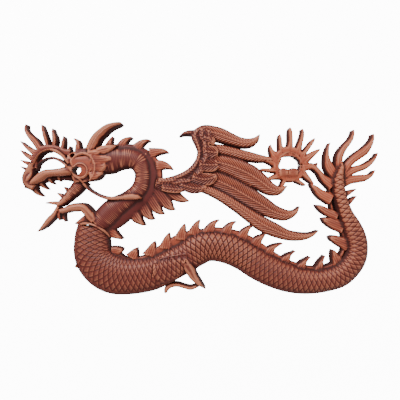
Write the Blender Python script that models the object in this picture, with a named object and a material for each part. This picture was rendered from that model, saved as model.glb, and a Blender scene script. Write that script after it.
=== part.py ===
"""A carved and pierced wall panel: a dragon with a wing, a flaming ring and a flame-tipped tail.

The panel is sawn and carved from one plank, so it is one solid. Its back is flat at y = 0 and its front
faces -Y. Its origin is the hanging place, on the flat back behind the wing.

The figure is drawn on a grid of units with x to the right and y down, as it is seen from the front.
Each carved member is a strip along a spine of (x, y, half width) points. The front is the highest of
the strips at every place, and the plank is sawn away wherever there is no strip.
"""

import math

import bmesh
import bpy
import numpy as np
from mathutils import Vector
from mathutils.geometry import delaunay_2d_cdt

# Driving dimensions, in metres.
LENGTH = 0.600  # from the nose spikes to the tail flames
DEPTH = 0.032  # from the flat back to the highest carving
VIEW_DISTANCE = 0.66  # eye to back: what stands proud looks larger from here, so it is drawn smaller

# The drawing grid.
GRID_LENGTH = 348.55  # units in LENGTH, once what stands proud is drawn smaller
GRID_EYE = (200.0, 200.0)  # the point the drawing is seen straight at
GRID_HANG = (206.0, 160.0)  # the hanging place, which is the origin
UNIT = LENGTH / GRID_LENGTH

# Heights above the back at the edge and along the crown, as shares of DEPTH.
SPIKE = (0.54, 0.62)
FLAME = (0.54, 0.65)
FLAME_RIM = (0.64, 0.72)
FIN = (0.46, 0.60)
BAND = (0.48, 0.56)
FEATHER = (0.54, 0.76)
FEATHER_UNDER = (0.47, 0.68)
COVERT = (0.72, 0.80)
LEAF = (0.74, 0.80)
ARM = (0.64, 0.74)
ARM_EDGE = (0.68, 0.78)
LEG = (0.60, 0.84)
NECK_SIDE = (0.54, 0.66)
NECK_RIDGE = (0.56, 0.86)
BODY = (0.56, 0.94)
THIGH = (0.74, 1.00)
FACE = (0.60, 0.80)
LIP = (0.64, 0.86)
HORN = (0.52, 0.82)
JAW = (0.42, 0.64)
TOOTH = (0.36, 0.48)
ROOF = (0.26, 0.34)
STRAND = (0.50, 0.56)
LOBE = (0.82, 0.90)
RIM = (0.90, 0.98)
SEAM = (0.90, 0.96)
OVERLAY = (0.82, 0.92)

LEAST_STEP = 0.0012  # a member this little above another has no step drawn
STEP_GAP = 0.00035  # width of the steep wall where a high member stands over a lower one
SPACING = 0.004  # between stations along a spine, before those it can do without are dropped
SLACK = 0.33  # units a spine may be off its smooth curve
TIP_ROUND = 0.6  # how far a blunt end is drawn out, as a share of its half width
SLIM = 2.5  # half width in units below which a member's crown gets lower
ROUNDNESS = 2.2  # power of the curve across a member: 2 is a parabola, more is flatter on top
BLUNT = (0.4, 2.2)  # half widths in units between which a spine's end is rounded off
TOUCH = 0.00005  # a point this close to a strip counts as on it
MERGE_MM = 0.06  # points closer than this become one
LOOSE_TOUCH = 0.0004  # the same for the corner points of the triangles, which may have been merged
NARROWEST = 0.45  # of a member's width is kept where its sawn wall shows
SMALLEST_GAP = 4.0e-6  # square metres: closer gaps between members are left solid

WOOD = (0.27, 0.075, 0.042, 1.0)

# Spines: points of (x, y, half width) as the member is seen, sawn wall included. A fourth number lifts the
# member there by that share of DEPTH. The last point of a spike is its tip.
NECK = [(99, 161, 13.6), (110.5, 158.8, 14.6), (120, 156.8, 13), (130, 156.6, 12), (140, 160.3, 12),
        (146, 170, 12.1), (146.6, 179.5, 12), (144.5, 188.5, 12.6), (139, 196, 12.5),
        (130.5, 202.8, 12.9), (121.5, 208.8, 14.6), (113.5, 214.5, 15.4), (105, 221.5, 14), (98.5, 228, 12)]
NECK_CORE = [(99, 161, 13.6), (110.5, 159.4, 14), (120, 158.4, 11.4), (130, 158.3, 10.3),
             (138.7, 161.8, 10), (142.7, 171, 8.6), (143, 179.2, 8.5), (141, 187, 8.9),
             (136, 193.2, 8.5), (128, 199.6, 8.9), (119.2, 205.5, 10.6), (111.4, 211.7, 11.9),
             (104, 219, 11.5), (98.5, 225.5, 9.5)]
NECK_BAND = [(112, 147.5, 1.8), (121, 145.6, 1.8), (131, 145.8, 1.8), (140, 148.3, 2), (147, 152.2, 2.6),
             (152.5, 157.5, 3.4), (156.8, 164.5, 3.8), (159.2, 172, 3.6), (159.6, 180, 3.6), (159, 187, 4)]
BODY_SPINE = [(94.3, 227, 16.6), (93.2, 235, 18.2), (93, 242, 19), (93.3, 250, 19.8), (95.3, 257.3, 20.3),
              (100, 264, 21), (107.5, 270, 21.3), (116.5, 274, 20.6), (127.5, 275.6, 19),
              (140, 275, 18.2), (151.8, 273, 17.3), (162.6, 268.7, 16.4), (174.3, 262.6, 16.2),
              (186.5, 256.3, 15.7), (197, 249.6, 16.2), (207, 246, 15.6), (218.5, 246.2, 15.5),
              (232.5, 249.8, 15.7), (245.5, 256.5, 15.3), (258.5, 264.5, 15.7), (272.5, 271.5, 15.6),
              (287.5, 277, 15.1), (301, 280, 14), (315, 280.3, 13.3), (328.5, 278, 13.1),
              (339, 274, 13.6), (347.5, 266.5, 13.6), (353.5, 257.5, 13.2), (355.5, 247.5, 12.6),
              (354, 237, 12.2), (350, 226.5, 11), (344.5, 215, 9.2), (340, 202.5, 8.6),
              (337, 190, 8.4), (336.5, 178, 7.4), (338.5, 170, 5), (341.5, 163, 1.5)]
BACK_RIDGE = [(118, 253, 3.4), (126, 257.8, 2.2), (141, 257.6, 2.4), (150, 254.8, 3.5), (159, 250.5, 4.6),
              (171, 243.5, 5.5), (184, 236.6, 4.8), (197, 232, 3), (210, 230.6, 2.6), (218, 230.2, 3.2),
              (236, 233.2, 3.2), (249, 239.6, 4.2), (262.5, 247.6, 3.8), (277, 256, 2.6), (291, 262.4, 2),
              (309, 267.2, 2), (323, 267, 2.8), (334, 262, 3.2), (340.5, 253, 3), (343, 244, 2.8),
              (342, 235.5, 2.8), (338, 226, 2.8), (334, 217, 2.8), (331, 210, 2.6), (329, 200, 2.2),
              (328.6, 190, 2)]
COLLAR = [(77.6, 225.6, 0.7, -0.32), (83, 223.6, 1, -0.08), (90, 224.2, 1, 0.02), (97, 227, 1, 0.03),
          (104, 231, 1, -0.06), (110, 236.6, 0.7, -0.25)]
WING_ARM = [(156, 183, 5.5), (166, 185, 7.5), (178, 183.5, 9), (188, 179.5, 9.3), (196, 172.5, 8.4),
            (201.5, 163, 6.6), (204.5, 153, 7), (203.5, 143.5, 7), (199, 137, 6.3), (192, 133.8, 4),
            (185, 134.2, 2.8), (179, 136, 0)]
WING_EDGE = [(204, 128.4, 2), (197.5, 131, 3.2), (194.8, 136, 3.6), (196.8, 142, 3), (199, 149, 2.4),
             (199, 156, 2.4), (197, 162.5, 3), (192, 169.2, 3.2), (185, 174, 3), (177, 177.6, 2.4),
             (167, 180.4, 2.4), (160, 181, 2.6)]
WING_LEAVES = [
    [(158.5, 181, 2.8), (167, 181, 3), (174, 180.2, 2.2), (180, 179.2, 0)],
    [(172, 183.4, 2), (181, 182, 3), (187, 181.4, 2.6), (192.5, 179.8, 0)],
    [(162, 187.6, 3), (170, 188.6, 3.8), (179, 189.4, 3.2), (189, 188.8, 0)],
    [(201.5, 128, 3.4), (202.4, 134, 3), (203, 139, 1.8), (203.2, 142, 0)],
    [(208.5, 129.5, 3.2), (208.8, 136, 3), (208.6, 142, 1.6), (208.4, 145, 0)],
    [(204, 141.5, 1), (205.4, 146, 2.2), (205.2, 151, 2.2), (203.8, 155, 0)],
    [(206.2, 153, 1.8), (205.8, 158.5, 2.8), (203, 164, 2.8), (199, 168.6, 0)],
    [(203, 166, 2), (200.5, 171, 2.6), (197, 175, 2.2), (193, 177.6, 0)],
]
FEATHERS = [
    [(195.5, 133.5, 4.6), (200.5, 133, 7.2), (206, 133, 8.3), (213, 134, 8.3), (221, 136, 8),
     (230, 139.6, 7), (240, 143, 6), (249, 143.5, 5.3), (255.5, 140.3, 3.6), (259.4, 134.6, 0.8)],
    [(206, 148.5, 5.6), (220, 150.3, 6), (231, 152.6, 5.9), (243.5, 155.8, 5.8), (255, 158.4, 5.2),
     (264, 159.6, 4), (272, 160.6, 3)],
    [(206, 160.5, 8), (221, 164, 9), (235, 168.4, 10.2), (249, 175, 10.8), (260, 182.2, 9.2),
     (270, 189.3, 7.2), (278.5, 190.2, 4.8), (287, 185.6, 0.8)],
    [(203, 175.5, 9), (215, 180, 10.2), (231.5, 187.8, 10.8), (247.5, 197, 10.6), (261.5, 205.2, 9.4),
     (273.5, 212, 7.6), (285, 214.8, 6), (294, 212, 3.6), (299.2, 206.2, 0.8)],
    [(200, 187.5, 4.4), (211, 191.5, 5), (224, 198.4, 5.4), (239, 208.3, 6), (252, 217.5, 6.8),
     (262.5, 224.3, 7.8), (274, 229.8, 7.3), (288, 235, 5.7), (301.5, 236, 4.6), (311, 234, 3.2),
     (318.4, 230.2, 0.8)],
]
COVERTS = [
    [(203, 136.5, 4), (208, 138.5, 4.6), (211.8, 141, 3.8), (213.8, 144, 1.6)],
    [(204, 151, 5.6), (210.5, 152, 6.4), (215, 152.6, 5.8), (218, 153, 3)],
    [(199, 164, 5.6), (207.5, 165, 6.4), (214, 165, 6), (218.4, 164.6, 3)],
    [(192, 176.4, 5.4), (202, 179.2, 6), (210, 178.8, 5.6), (216.6, 176.4, 2.4)],
    [(180, 184, 4), (190, 187.4, 5.6), (199, 188.4, 4.6), (206, 187.4, 1.6)],
]
FINS = [
    [(165, 187, 8), (172, 192.5, 7), (179, 197.6, 4.8), (184, 199.8, 3), (188.8, 201, 0.8)],
    [(156, 188, 9), (162, 196, 8), (167.5, 203.5, 6), (171.5, 207.8, 3.4), (175.3, 209.6, 0.8)],
    [(149, 195, 10), (154.5, 204, 7.4), (158.5, 209.6, 5), (161.5, 212.4, 2.8), (164.8, 214, 0.8)],
    [(143, 204, 8), (147, 212, 6.4), (150, 216, 4.2), (152.4, 218, 2.6), (155.2, 219.2, 0.8)],
    [(133, 210, 8), (137.5, 217.5, 6.2), (141, 221.4, 4), (143.6, 223.6, 2.4), (146.4, 225.2, 0.8)],
]
CREST = [
    [(43, 152, 5), (39, 145, 4.6), (35, 139.8, 4.2), (29.4, 133.8, 3.4), (26.6, 128.6, 2.6),
     (26.2, 124, 0.8)],
    [(49, 152, 3.8), (49, 146, 3.5), (47.5, 139.5, 3.7), (45.5, 133.5, 3.4), (43.6, 128, 2.4),
     (42, 124.4, 0.8)],
    [(55.5, 152, 4), (55.8, 146, 4), (56.2, 141, 4.2), (55.6, 136.5, 3.9), (54.2, 132, 2.8),
     (52.8, 128.2, 0.8)],
    [(62.5, 153, 3.6), (64.2, 147, 3.6), (64.8, 142, 3.4), (64.6, 138.8, 2.2), (63.6, 135.8, 0.6)],
    [(69.5, 153, 3.4), (70.3, 149, 2.4), (70, 145.8, 0.6)],
    [(79.5, 152, 5), (79.4, 146.5, 4.2), (79, 142.8, 3.2), (76.8, 140, 2), (73.8, 138.8, 0.7)],
    [(38, 154, 4.6), (32.6, 150.6, 3.4), (27, 146.4, 2.4), (20.8, 141, 0.9)],
    [(37, 160, 4.6), (31, 157, 3.4), (26, 154, 2.4), (20.8, 150, 0.9)],
    [(35, 165.6, 4), (30, 163.6, 2.9), (25.4, 161.8, 2), (20.8, 159.8, 0.9)],
    [(31, 171, 3.4), (25.6, 168.4, 2), (20.6, 166.2, 0.7)],
]
CREST_ROOT = [(34, 168, 3.6), (34.4, 160, 3.4), (37.4, 153, 3.4), (43, 148.6, 3.2), (50, 147.6, 3),
              (57, 148.6, 3), (63.5, 151.6, 3.4), (70, 153, 4)]
HORN_SPINE = [(91.5, 152, 7), (95, 144, 7.2), (98.5, 138, 6.7), (103, 133.5, 6.3), (108.5, 129, 5.5),
              (114.8, 126.2, 4.2), (120, 124.9, 3.2), (123.6, 124.4, 1.6)]
NOSE = [(32, 164, 3), (29.4, 171.5, 4.8), (27.6, 178, 5.8), (28.6, 184, 4.8), (33.5, 188, 3)]
NOSTRIL = [(32.4, 171.4, 1), (31, 175.4, 2), (28.6, 179.4, 2.4), (26.4, 182.8, 1)]
BROW = [(33, 173, 2.2), (34.6, 165, 2.6), (37.4, 158.6, 2.6), (42.4, 153.2, 2.4), (49, 150.6, 2.2),
        (56, 151.2, 2.2), (62, 154.2, 2.6), (67, 159, 3), (72, 165, 3)]
SNOUT = [(30.5, 184, 1.6), (35, 180.6, 3.4), (40, 177, 4.4), (45, 173.8, 4.2), (52, 172.6, 3.6),
         (60, 172, 4), (67, 170.6, 4.6), (73, 169.4, 5)]
CHEEK = [(68, 160, 6), (73, 160, 8), (79, 160, 11), (86, 161, 14), (92, 163.5, 14), (98, 165, 11)]
CHEEK_LOW = [(82, 164, 9), (82.6, 174, 11), (83.5, 182, 9)]
EYE_LOBE = [(70.5, 161, 2.4), (74.5, 162, 6.4), (79, 164.4, 9.6), (83.5, 166.5, 11.6), (87.5, 168.6, 10),
            (91, 170.4, 5)]
EYE_RIM = [(72.4, 158.6, 0.6), (77, 154.8, 1.1), (83.6, 153.2, 1.3), (90, 156, 1.3), (93.8, 161.8, 1.3),
           (94.6, 168.4, 1.3), (93, 174.6, 1.1), (89.4, 180.4, 0.6)]
EYE_RING = ((80, 170.6), 7.2, 1.2)  # centre, radius and half width
LOWER_JAW = [(84, 180, 8.6), (77, 189.3, 7.3), (72, 194.3, 6.6), (67.5, 199, 5.6), (62.5, 203.3, 4.6),
             (58, 206, 3.2)]
MOUTH_ROOF = [(34, 184, 3), (45, 180.5, 2.4), (55, 178.5, 2.2), (66, 178, 2.6), (76, 178.5, 4)]
TEETH = [
    [(33.5, 182, 4), (34.5, 188.5, 3.2), (37, 192.5, 2.2), (42.6, 196.2, 0.6)],
    [(40, 181, 2.8), (42, 185, 2.2), (47.6, 189.2, 0.6)],
    [(48.5, 177, 2.6), (50.5, 181, 1.8), (53.8, 184, 0.5)],
    [(58, 175.5, 2), (59, 179, 1.5), (60, 181.5, 0.4)],
    [(71, 192, 2.6), (67.5, 190, 1.9), (64.2, 187.2, 0.5)],
    [(66, 198, 2.8), (61.5, 195.5, 1.9), (57.4, 193.2, 0.5)],
]
CHIN = [
    [(61, 204, 3), (56, 203, 2.2), (50, 202.8, 1.3), (46, 203, 0.6)],
    [(60, 207, 3.5), (57, 213, 4), (54, 217, 4.2), (50, 221, 4.3), (45.5, 226, 3.6), (40.4, 230.4, 2),
     (38, 231.8, 1)],
]
RUFF = [
    [(90, 159, 6), (101, 159.6, 5), (108, 158.8, 3.2), (114.4, 159.2, 0)],
    [(92, 167, 6), (101, 167, 5), (107.8, 164.6, 0)],
    [(88, 154, 3), (97, 152.6, 3.4), (102.5, 150.6, 0)],
    [(90, 176, 5), (97, 175, 4), (103, 172.6, 0)],
    [(97, 151, 3), (104, 149.6, 4.4), (110, 147.8, 3.2), (116, 145.6, 0)],
]
WHISKER = [(36.5, 171, 1.9, 0), (38, 165.5, 1.8, 0), (42, 161.3, 1.7, 0), (48, 158.7, 1.6, 0),
           (54, 158.3, 1.6, 0.04), (60, 160.3, 1.6, 0.2), (65, 164, 1.6, 0.36), (70, 168.5, 1.7, 0.42),
           (75, 173.5, 1.7, 0.42), (80, 179, 1.8, 0.4), (85, 184.5, 1.8, 0.3), (88.5, 188.2, 1.8, 0.2),
           (92, 191, 1.8, 0.12), (98, 194.5, 1.8, 0.1), (105, 197.3, 1.9, 0.24), (112, 198.4, 2, 0.38),
           (121, 198, 2.2, 0.42), (130, 196.9, 3, 0.43), (137, 197, 2.6, 0.42), (143.5, 198.4, 0, 0.4)]
FORELEG = [(61, 211, 3), (66, 210.5, 3.6), (71, 208.5, 4.4), (77, 207.5, 4.6), (83, 207, 5),
           (87.5, 209.8, 6), (91.5, 214.5, 6.4), (97, 221, 7)]
CLAWS = [
    [(61, 210, 2.8), (60, 214, 2.6), (60, 218.5, 2), (60, 220.3, 0.8)],
    [(65, 211, 2.4), (64.6, 217, 2.2), (65.2, 221.8, 0.6)],
    [(89, 219, 6), (82, 221.8, 4), (75, 223.6, 0.6)],
]
THIGH_SPINE = [(153, 271, 9), (160, 271.5, 12.5), (170, 268.5, 12.6), (180, 264, 10.3), (187, 262, 8.4)]
THIGH_FOLD = [(159, 259.4, 0.5, -0.08), (166, 257.6, 0.8, -0.06), (175, 255.6, 0.8, 0),
              (184, 254.4, 0.8, 0.02), (190, 254.4, 0.5, 0.02)]
SHANK = [(184, 260, 7.4), (190.5, 269, 6.2), (194.5, 276, 5.2), (200, 282.3, 3.8), (205.8, 288.6, 0.8)]
HIND_FOOT = [(199, 284, 2.4), (191, 287, 3), (184, 285.5, 2.9), (177, 283.7, 3.1), (170, 284.9, 3.2),
             (166.5, 288.6, 2.6), (165.6, 292.4, 1.6)]
NECK_SPIKES = [
    [(109, 150, 6), (110.2, 145, 4.6), (112, 140, 2.9), (113, 136.8, 1.2)],
    [(121, 149, 6.4), (124.5, 142.8, 4.8), (129, 139.3, 2.8), (132.8, 137.4, 1.1)],
    [(137, 149, 6.4), (141.5, 144.3, 4.6), (146.5, 141.4, 2.7), (151.2, 140.8, 1.2)],
    [(150, 154, 6.5), (156.5, 152.4, 4.6), (163.5, 151.7, 3), (169.2, 152.9, 1.1)],
    [(156, 166, 6.5), (162.5, 165.5, 5), (168, 166.6, 3.1), (173.2, 169.4, 1.1)],
]
BACK_SPIKES = [
    [(107, 229, 8), (115, 233.8, 5), (120, 236.8, 2.8), (123.6, 239.2, 1)],
    [(112, 251.5, 6), (119.5, 250, 4), (124.6, 248.2, 1.1)],
    [(132, 258, 7), (135, 252.4, 4.4), (138, 247, 1.1)],
    [(150, 256, 8.4), (152, 249.4, 5), (153.8, 244.4, 2.8), (154.8, 241, 1.2)],
    [(166, 249, 8), (167, 241.4, 4.8), (168.2, 236.2, 2.6), (169.2, 232.8, 1.2)],
    [(181, 240, 8), (182.2, 232.4, 4.6), (183.6, 227.4, 2.6), (184.6, 224.4, 1.3)],
    [(194, 235, 7.4), (195.6, 227.6, 4.2), (197.5, 223.2, 2.4), (199.8, 220.2, 1.1)],
    [(208, 234, 7.4), (211.2, 226.6, 4.6), (214.4, 222.4, 2.4), (219, 219.8, 0.9)],
    [(225, 235, 7.4), (228.2, 227.6, 4.6), (231.8, 223.4, 2.4), (236, 221.3, 0.9)],
    [(241, 238, 7.4), (244.8, 231.4, 4.6), (248.4, 227.4, 2.6), (254, 224, 1.2)],
    [(254, 245, 7.6), (258.2, 238.8, 4.8), (262, 235.6, 2.8), (266, 231.4, 1.2)],
    [(267, 254, 7.6), (271.6, 247.4, 4.2), (277, 244.5, 2.4), (282.6, 243.1, 0.9)],
    [(283, 262, 7.4), (287.2, 255.6, 4.2), (291, 252.7, 2.2), (295.2, 250.9, 0.9)],
    [(299, 268, 7), (303, 261.6, 4.2), (306.4, 258.5, 2.6), (310.2, 256.8, 0.9)],
    [(317, 270, 6.6), (319.6, 262, 4.2), (321.8, 258.4, 2.6), (324.6, 255.6, 1.1)],
    [(337, 264, 7.4), (334, 256.4, 5), (332.4, 251.8, 3), (331, 249, 1.4)],
    [(348, 245, 6.8), (338.6, 241, 5), (332, 238.4, 3), (327, 236.2, 1.2)],
    [(343, 228, 6.4), (333.6, 224, 6), (326, 220.8, 3.8), (319.8, 218, 1.2)],
    [(337, 217, 4.6), (326, 212, 4.4), (319.5, 208, 3.4), (313.8, 204.2, 1.2)],
    [(342, 195, 4.6), (349.5, 191.5, 2.8), (356.2, 188.6, 0.8)],
    [(343, 205, 5), (350, 200, 3.2), (356.2, 195.8, 0.9)],
]
TAIL_FLAMES = [
    [(335, 178, 6.6), (328, 168, 6.4), (325.4, 158.4, 4.5), (326, 151, 3.2), (327.6, 146, 2),
     (329.8, 142.4, 0.8)],
    [(338, 173, 6), (337.4, 159.5, 5.4), (340, 152, 4.8), (344, 146.3, 4), (350, 138.8, 3.3),
     (352.2, 132.8, 2.5), (353.2, 129.6, 1.1)],
    [(341, 174, 5.6), (346, 165.5, 5.2), (351, 160, 4.8), (357.5, 155, 4.9), (364.3, 149.8, 5.1),
     (369.5, 142.5, 4), (372.1, 136.8, 2.5), (372.8, 133.8, 1.1)],
    [(340, 179, 5.6), (348, 172.4, 4.6), (355.5, 169, 4), (364.5, 165.8, 3.6), (371.3, 160.3, 3.2),
     (375.4, 155.6, 1.9), (377.3, 152.6, 0.9)],
    [(339, 184, 6), (349, 179.8, 4.8), (357, 178.8, 4.1), (364, 177.6, 3.8), (370.3, 174.6, 2.7),
     (374.8, 170, 0.9)],
]
RING = ((288.8, 164.5), 14.2, 4.2)  # centre, radius and half width
RING_RIM = ((288.8, 164.5), 11.6, 1.4)
KNUCKLES = [[(279, 173, 3.6), (283.4, 172.8, 4.7), (287.6, 173, 3.6)],
            [(288.6, 173, 3.6), (292.8, 172.8, 4.9), (297.4, 173, 3.8)]]
RAYS = [
    [(279, 161, 7), (274, 156.5, 5.6), (270.6, 151.5, 3.5), (269.7, 147.6, 2.4), (270, 144.6, 1.1)],
    [(283, 157, 6.4), (280.3, 150.5, 4.2), (279.2, 144, 3.1), (279, 138, 2.8), (278.8, 134.8, 1.8)],
    [(289, 156, 7), (288.6, 149, 4.8), (289.4, 142, 3.6), (289.2, 134, 3.4), (289, 130, 3),
     (288.9, 127.8, 1.8)],
    [(295, 157, 6.6), (297.2, 150.5, 4.8), (299.2, 143, 3.5), (301.2, 136, 3), (301.6, 131.5, 2.6),
     (301.3, 129.2, 1.6)],
    [(299, 160, 6.4), (303.5, 152.6, 3.4), (308, 146.4, 2.8), (311.6, 141.5, 2.5), (314, 138.2, 1.5)],
    [(301, 163, 6.4), (307.5, 157.4, 4.3), (313, 153.5, 3), (317, 150.8, 2.1), (319.6, 149.2, 1)],
    [(279, 165, 6.4), (272, 162, 5), (265, 160.4, 3), (258, 159.4, 2)],
    [(278, 169.5, 5), (270, 170.6, 2.4), (260, 169.9, 1.7)],
    [(281, 175, 5), (274, 177.2, 2.6), (266, 179.7, 1.8)],
    [(284, 175, 5), (283.6, 180, 3.4), (280, 187, 2.6)],
    [(285, 174, 4.4), (292, 178.7, 3.2), (299, 182.7, 2.9), (304.4, 185.8, 1.9)],
    [(299, 170, 5.4), (304, 176, 4.4), (308.6, 180.6, 3.4), (312.6, 184.4, 1.8)],
    [(310, 184.4, 1.6), (315, 189.6, 4.3), (321, 195, 5.6), (331, 200, 7)],
    [(304, 167.6, 4.6), (312, 167.4, 4.2), (318, 173, 4), (323, 179.5, 5), (332, 186, 7)],
    [(312.4, 168.5, 3.4), (315.6, 165, 2), (317.2, 162.3, 0.6)],
]
EYE_HOLE = ((76.6, 170.4), 4.7, 4.1)  # centre and half axes

CROWN = (-1.0, -0.62, 0.0, 0.62, 1.0)  # stations across a rounded member
WEDGE = (-1.0, 0.0, 1.0)  # stations across a spike


def plan(x, y, lift):
    """A drawn point as (x, z) in metres from the hanging place, for a surface lift metres off the back."""
    scale = UNIT * (1.0 - lift / VIEW_DISTANCE)
    return np.array(((x - GRID_EYE[0]) * scale + (GRID_EYE[0] - GRID_HANG[0]) * UNIT,
                     (GRID_EYE[1] - y) * scale + (GRID_HANG[1] - GRID_EYE[1]) * UNIT))


def smooth_path(points, spacing):
    """Stations on a Catmull-Rom curve through the points, about one every spacing."""
    rows = np.zeros((len(points), 4))
    for row, point in zip(rows, points):
        row[:len(point)] = point
    ends = np.vstack((2 * rows[0] - rows[1], rows, 2 * rows[-1] - rows[-2]))
    path = [rows[0]]
    for i in range(len(rows) - 1):
        p0, p1, p2, p3 = ends[i:i + 4]
        steps = max(1, round(math.dist(p1[:2], p2[:2]) / spacing))
        for k in range(1, steps + 1):
            t = k / steps
            path.append(0.5 * (2 * p1 + (p2 - p0) * t + (2 * p0 - 5 * p1 + 4 * p2 - p3) * t ** 2
                               + (3 * p1 - p0 - 3 * p2 + p3) * t ** 3))
    path = thinned(np.array(path), SLACK)
    path[:, 2] = np.maximum(path[:, 2], 0.0)
    if BLUNT[0] < path[-1, 2] < BLUNT[1]:
        run = path[-1, :2] - path[-2, :2]
        tip = path[-1].copy()
        tip[:2] += run / np.linalg.norm(run) * tip[2] * TIP_ROUND
        tip[2] *= 1.0 - TIP_ROUND
        path = np.vstack((path, tip))
    return path


def thinned(path, slack):
    """Only the stations that the bends and the width of a path need."""
    span = path[-1] - path[0]
    share = np.clip((path - path[0]) @ span / max(span @ span, 1e-9), 0.0, 1.0)
    off = np.linalg.norm(path - path[0] - share[:, None] * span, axis=1)
    worst = int(off.argmax())
    if off[worst] < slack:
        return path[[0, -1]]
    return np.vstack((thinned(path[:worst + 1], slack)[:-1], thinned(path[worst:], slack)))


def front_only(points, lean):
    """The points of a spine without the sawn wall that shows beside the front, where it is seen aslant.

    lean is how far the back seems to slip towards the eye, as a share of its distance from the eye's axis.
    """
    rows = np.array(points, float)
    run = np.gradient(rows[:, :2], axis=0)
    run /= np.linalg.norm(run, axis=1)[:, None]
    normal = np.stack((-run[:, 1], run[:, 0]), axis=1)
    slip = (rows[:, :2] - GRID_EYE) * lean
    aside = (slip * normal).sum(axis=1)
    half = np.maximum(rows[:, 2] - np.abs(aside) / 2, rows[:, 2] * NARROWEST)
    rows[:, :2] += normal * (np.sign(aside) * (rows[:, 2] - half))[:, None]
    rows[:, 2] = half
    rows[-1, :2] -= run[-1] * max(0.0, -slip[-1] @ run[-1])
    return rows


class Strip:
    """One carved member: a patch of the front with its own height, over its outline in plan."""

    def __init__(self, points, triangles, ridges, outline):
        self.points = np.array(points)
        self.ridges = ridges
        self.outline = outline
        corners = self.points[np.array(triangles)]
        area = np.cross(corners[:, 1, :2] - corners[:, 0, :2], corners[:, 2, :2] - corners[:, 0, :2])
        corners = corners[np.abs(area) > 1e-9]
        flip = area[np.abs(area) > 1e-9] < 0
        corners[flip] = corners[flip][:, ::-1]
        self.corners = corners
        sides = corners[:, 1:, :2] - corners[:, :1, :2]
        rises = corners[:, 1:, 2] - corners[:, :1, 2]
        self.slopes = np.linalg.solve(sides, rises[..., None])[..., 0]
        self.offsets = corners[:, 0, 2] - (corners[:, 0, :2] * self.slopes).sum(axis=1)

    def height(self, places, touch=TOUCH):
        """The member's height at each place, and -1 where the place is off it."""
        best = np.full(len(places), -1.0)
        low = self.points[:, :2].min(axis=0) - touch
        high = self.points[:, :2].max(axis=0) + touch
        near = np.nonzero(((places > low) & (places < high)).all(axis=1))[0]
        if not len(near):
            return best
        here = places[near, None]
        inside = np.ones((len(near), len(self.corners)), bool)
        for k in range(3):
            start = self.corners[:, k, :2]
            edge = self.corners[:, (k + 1) % 3, :2] - start
            side = edge[:, 0] * (here[..., 1] - start[:, 1]) - edge[:, 1] * (here[..., 0] - start[:, 0])
            inside &= side > -touch * np.linalg.norm(edge, axis=1)
        lifts = (here * self.slopes).sum(axis=2) + self.offsets
        lifts = np.minimum(lifts, self.corners[:, :, 2].max(axis=1))
        best[near] = np.where(inside, lifts, -1.0).max(axis=1)
        return best


def strip(spine, heights, across=WEDGE, walled=True, closed=False):
    """A member along a spine, from its edge height up to its crown height.

    A walled member stands clear on a side, so that its drawn width takes in the sawn wall.
    """
    edge, crown = (DEPTH * share for share in heights)
    if walled:
        spine = front_only(spine, edge / VIEW_DISTANCE)
    path = smooth_path(spine, SPACING / UNIT)
    if closed:
        path = path[:-1]
    centres = path[:, :2]
    if closed:
        run = np.roll(centres, -1, axis=0) - np.roll(centres, 1, axis=0)
    else:
        run = np.gradient(centres, axis=0)
    run /= np.linalg.norm(run, axis=1)[:, None]
    normal = np.stack((-run[:, 1], run[:, 0]), axis=1)
    points = []
    for centre, side, half, raised in zip(centres, normal, path[:, 2], path[:, 3] * DEPTH):
        rise = (crown - edge) * min(1.0, half / SLIM)
        for t in across:
            lift = edge + raised + rise * (1.0 - abs(t) ** ROUNDNESS)
            points.append((*plan(*(centre + side * half * t), edge + raised), lift))
    count = len(across)
    rows = len(path) if closed else len(path) - 1
    triangles, ridges = [], []
    for i in range(rows):
        for k in range(count - 1):
            a = i * count + k
            b = (i + 1) % len(path) * count + k
            triangles += [(a, b, b + 1), (a, b + 1, a + 1)]
            if k:
                ridges.append((a, b))
    first = [i * count for i in range(len(path))]
    last = [i * count + count - 1 for i in range(len(path))]
    outline = [first, last] if closed else [first + last[::-1]]
    return Strip(points, triangles, ridges, outline)


def ring_spine(centre, radius, half, count=16):
    """A closed spine round a ring."""
    turns = [2 * math.pi * k / count for k in range(count + 1)]
    return [(centre[0] + radius * math.cos(a), centre[1] + radius * math.sin(a), half) for a in turns]


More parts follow.
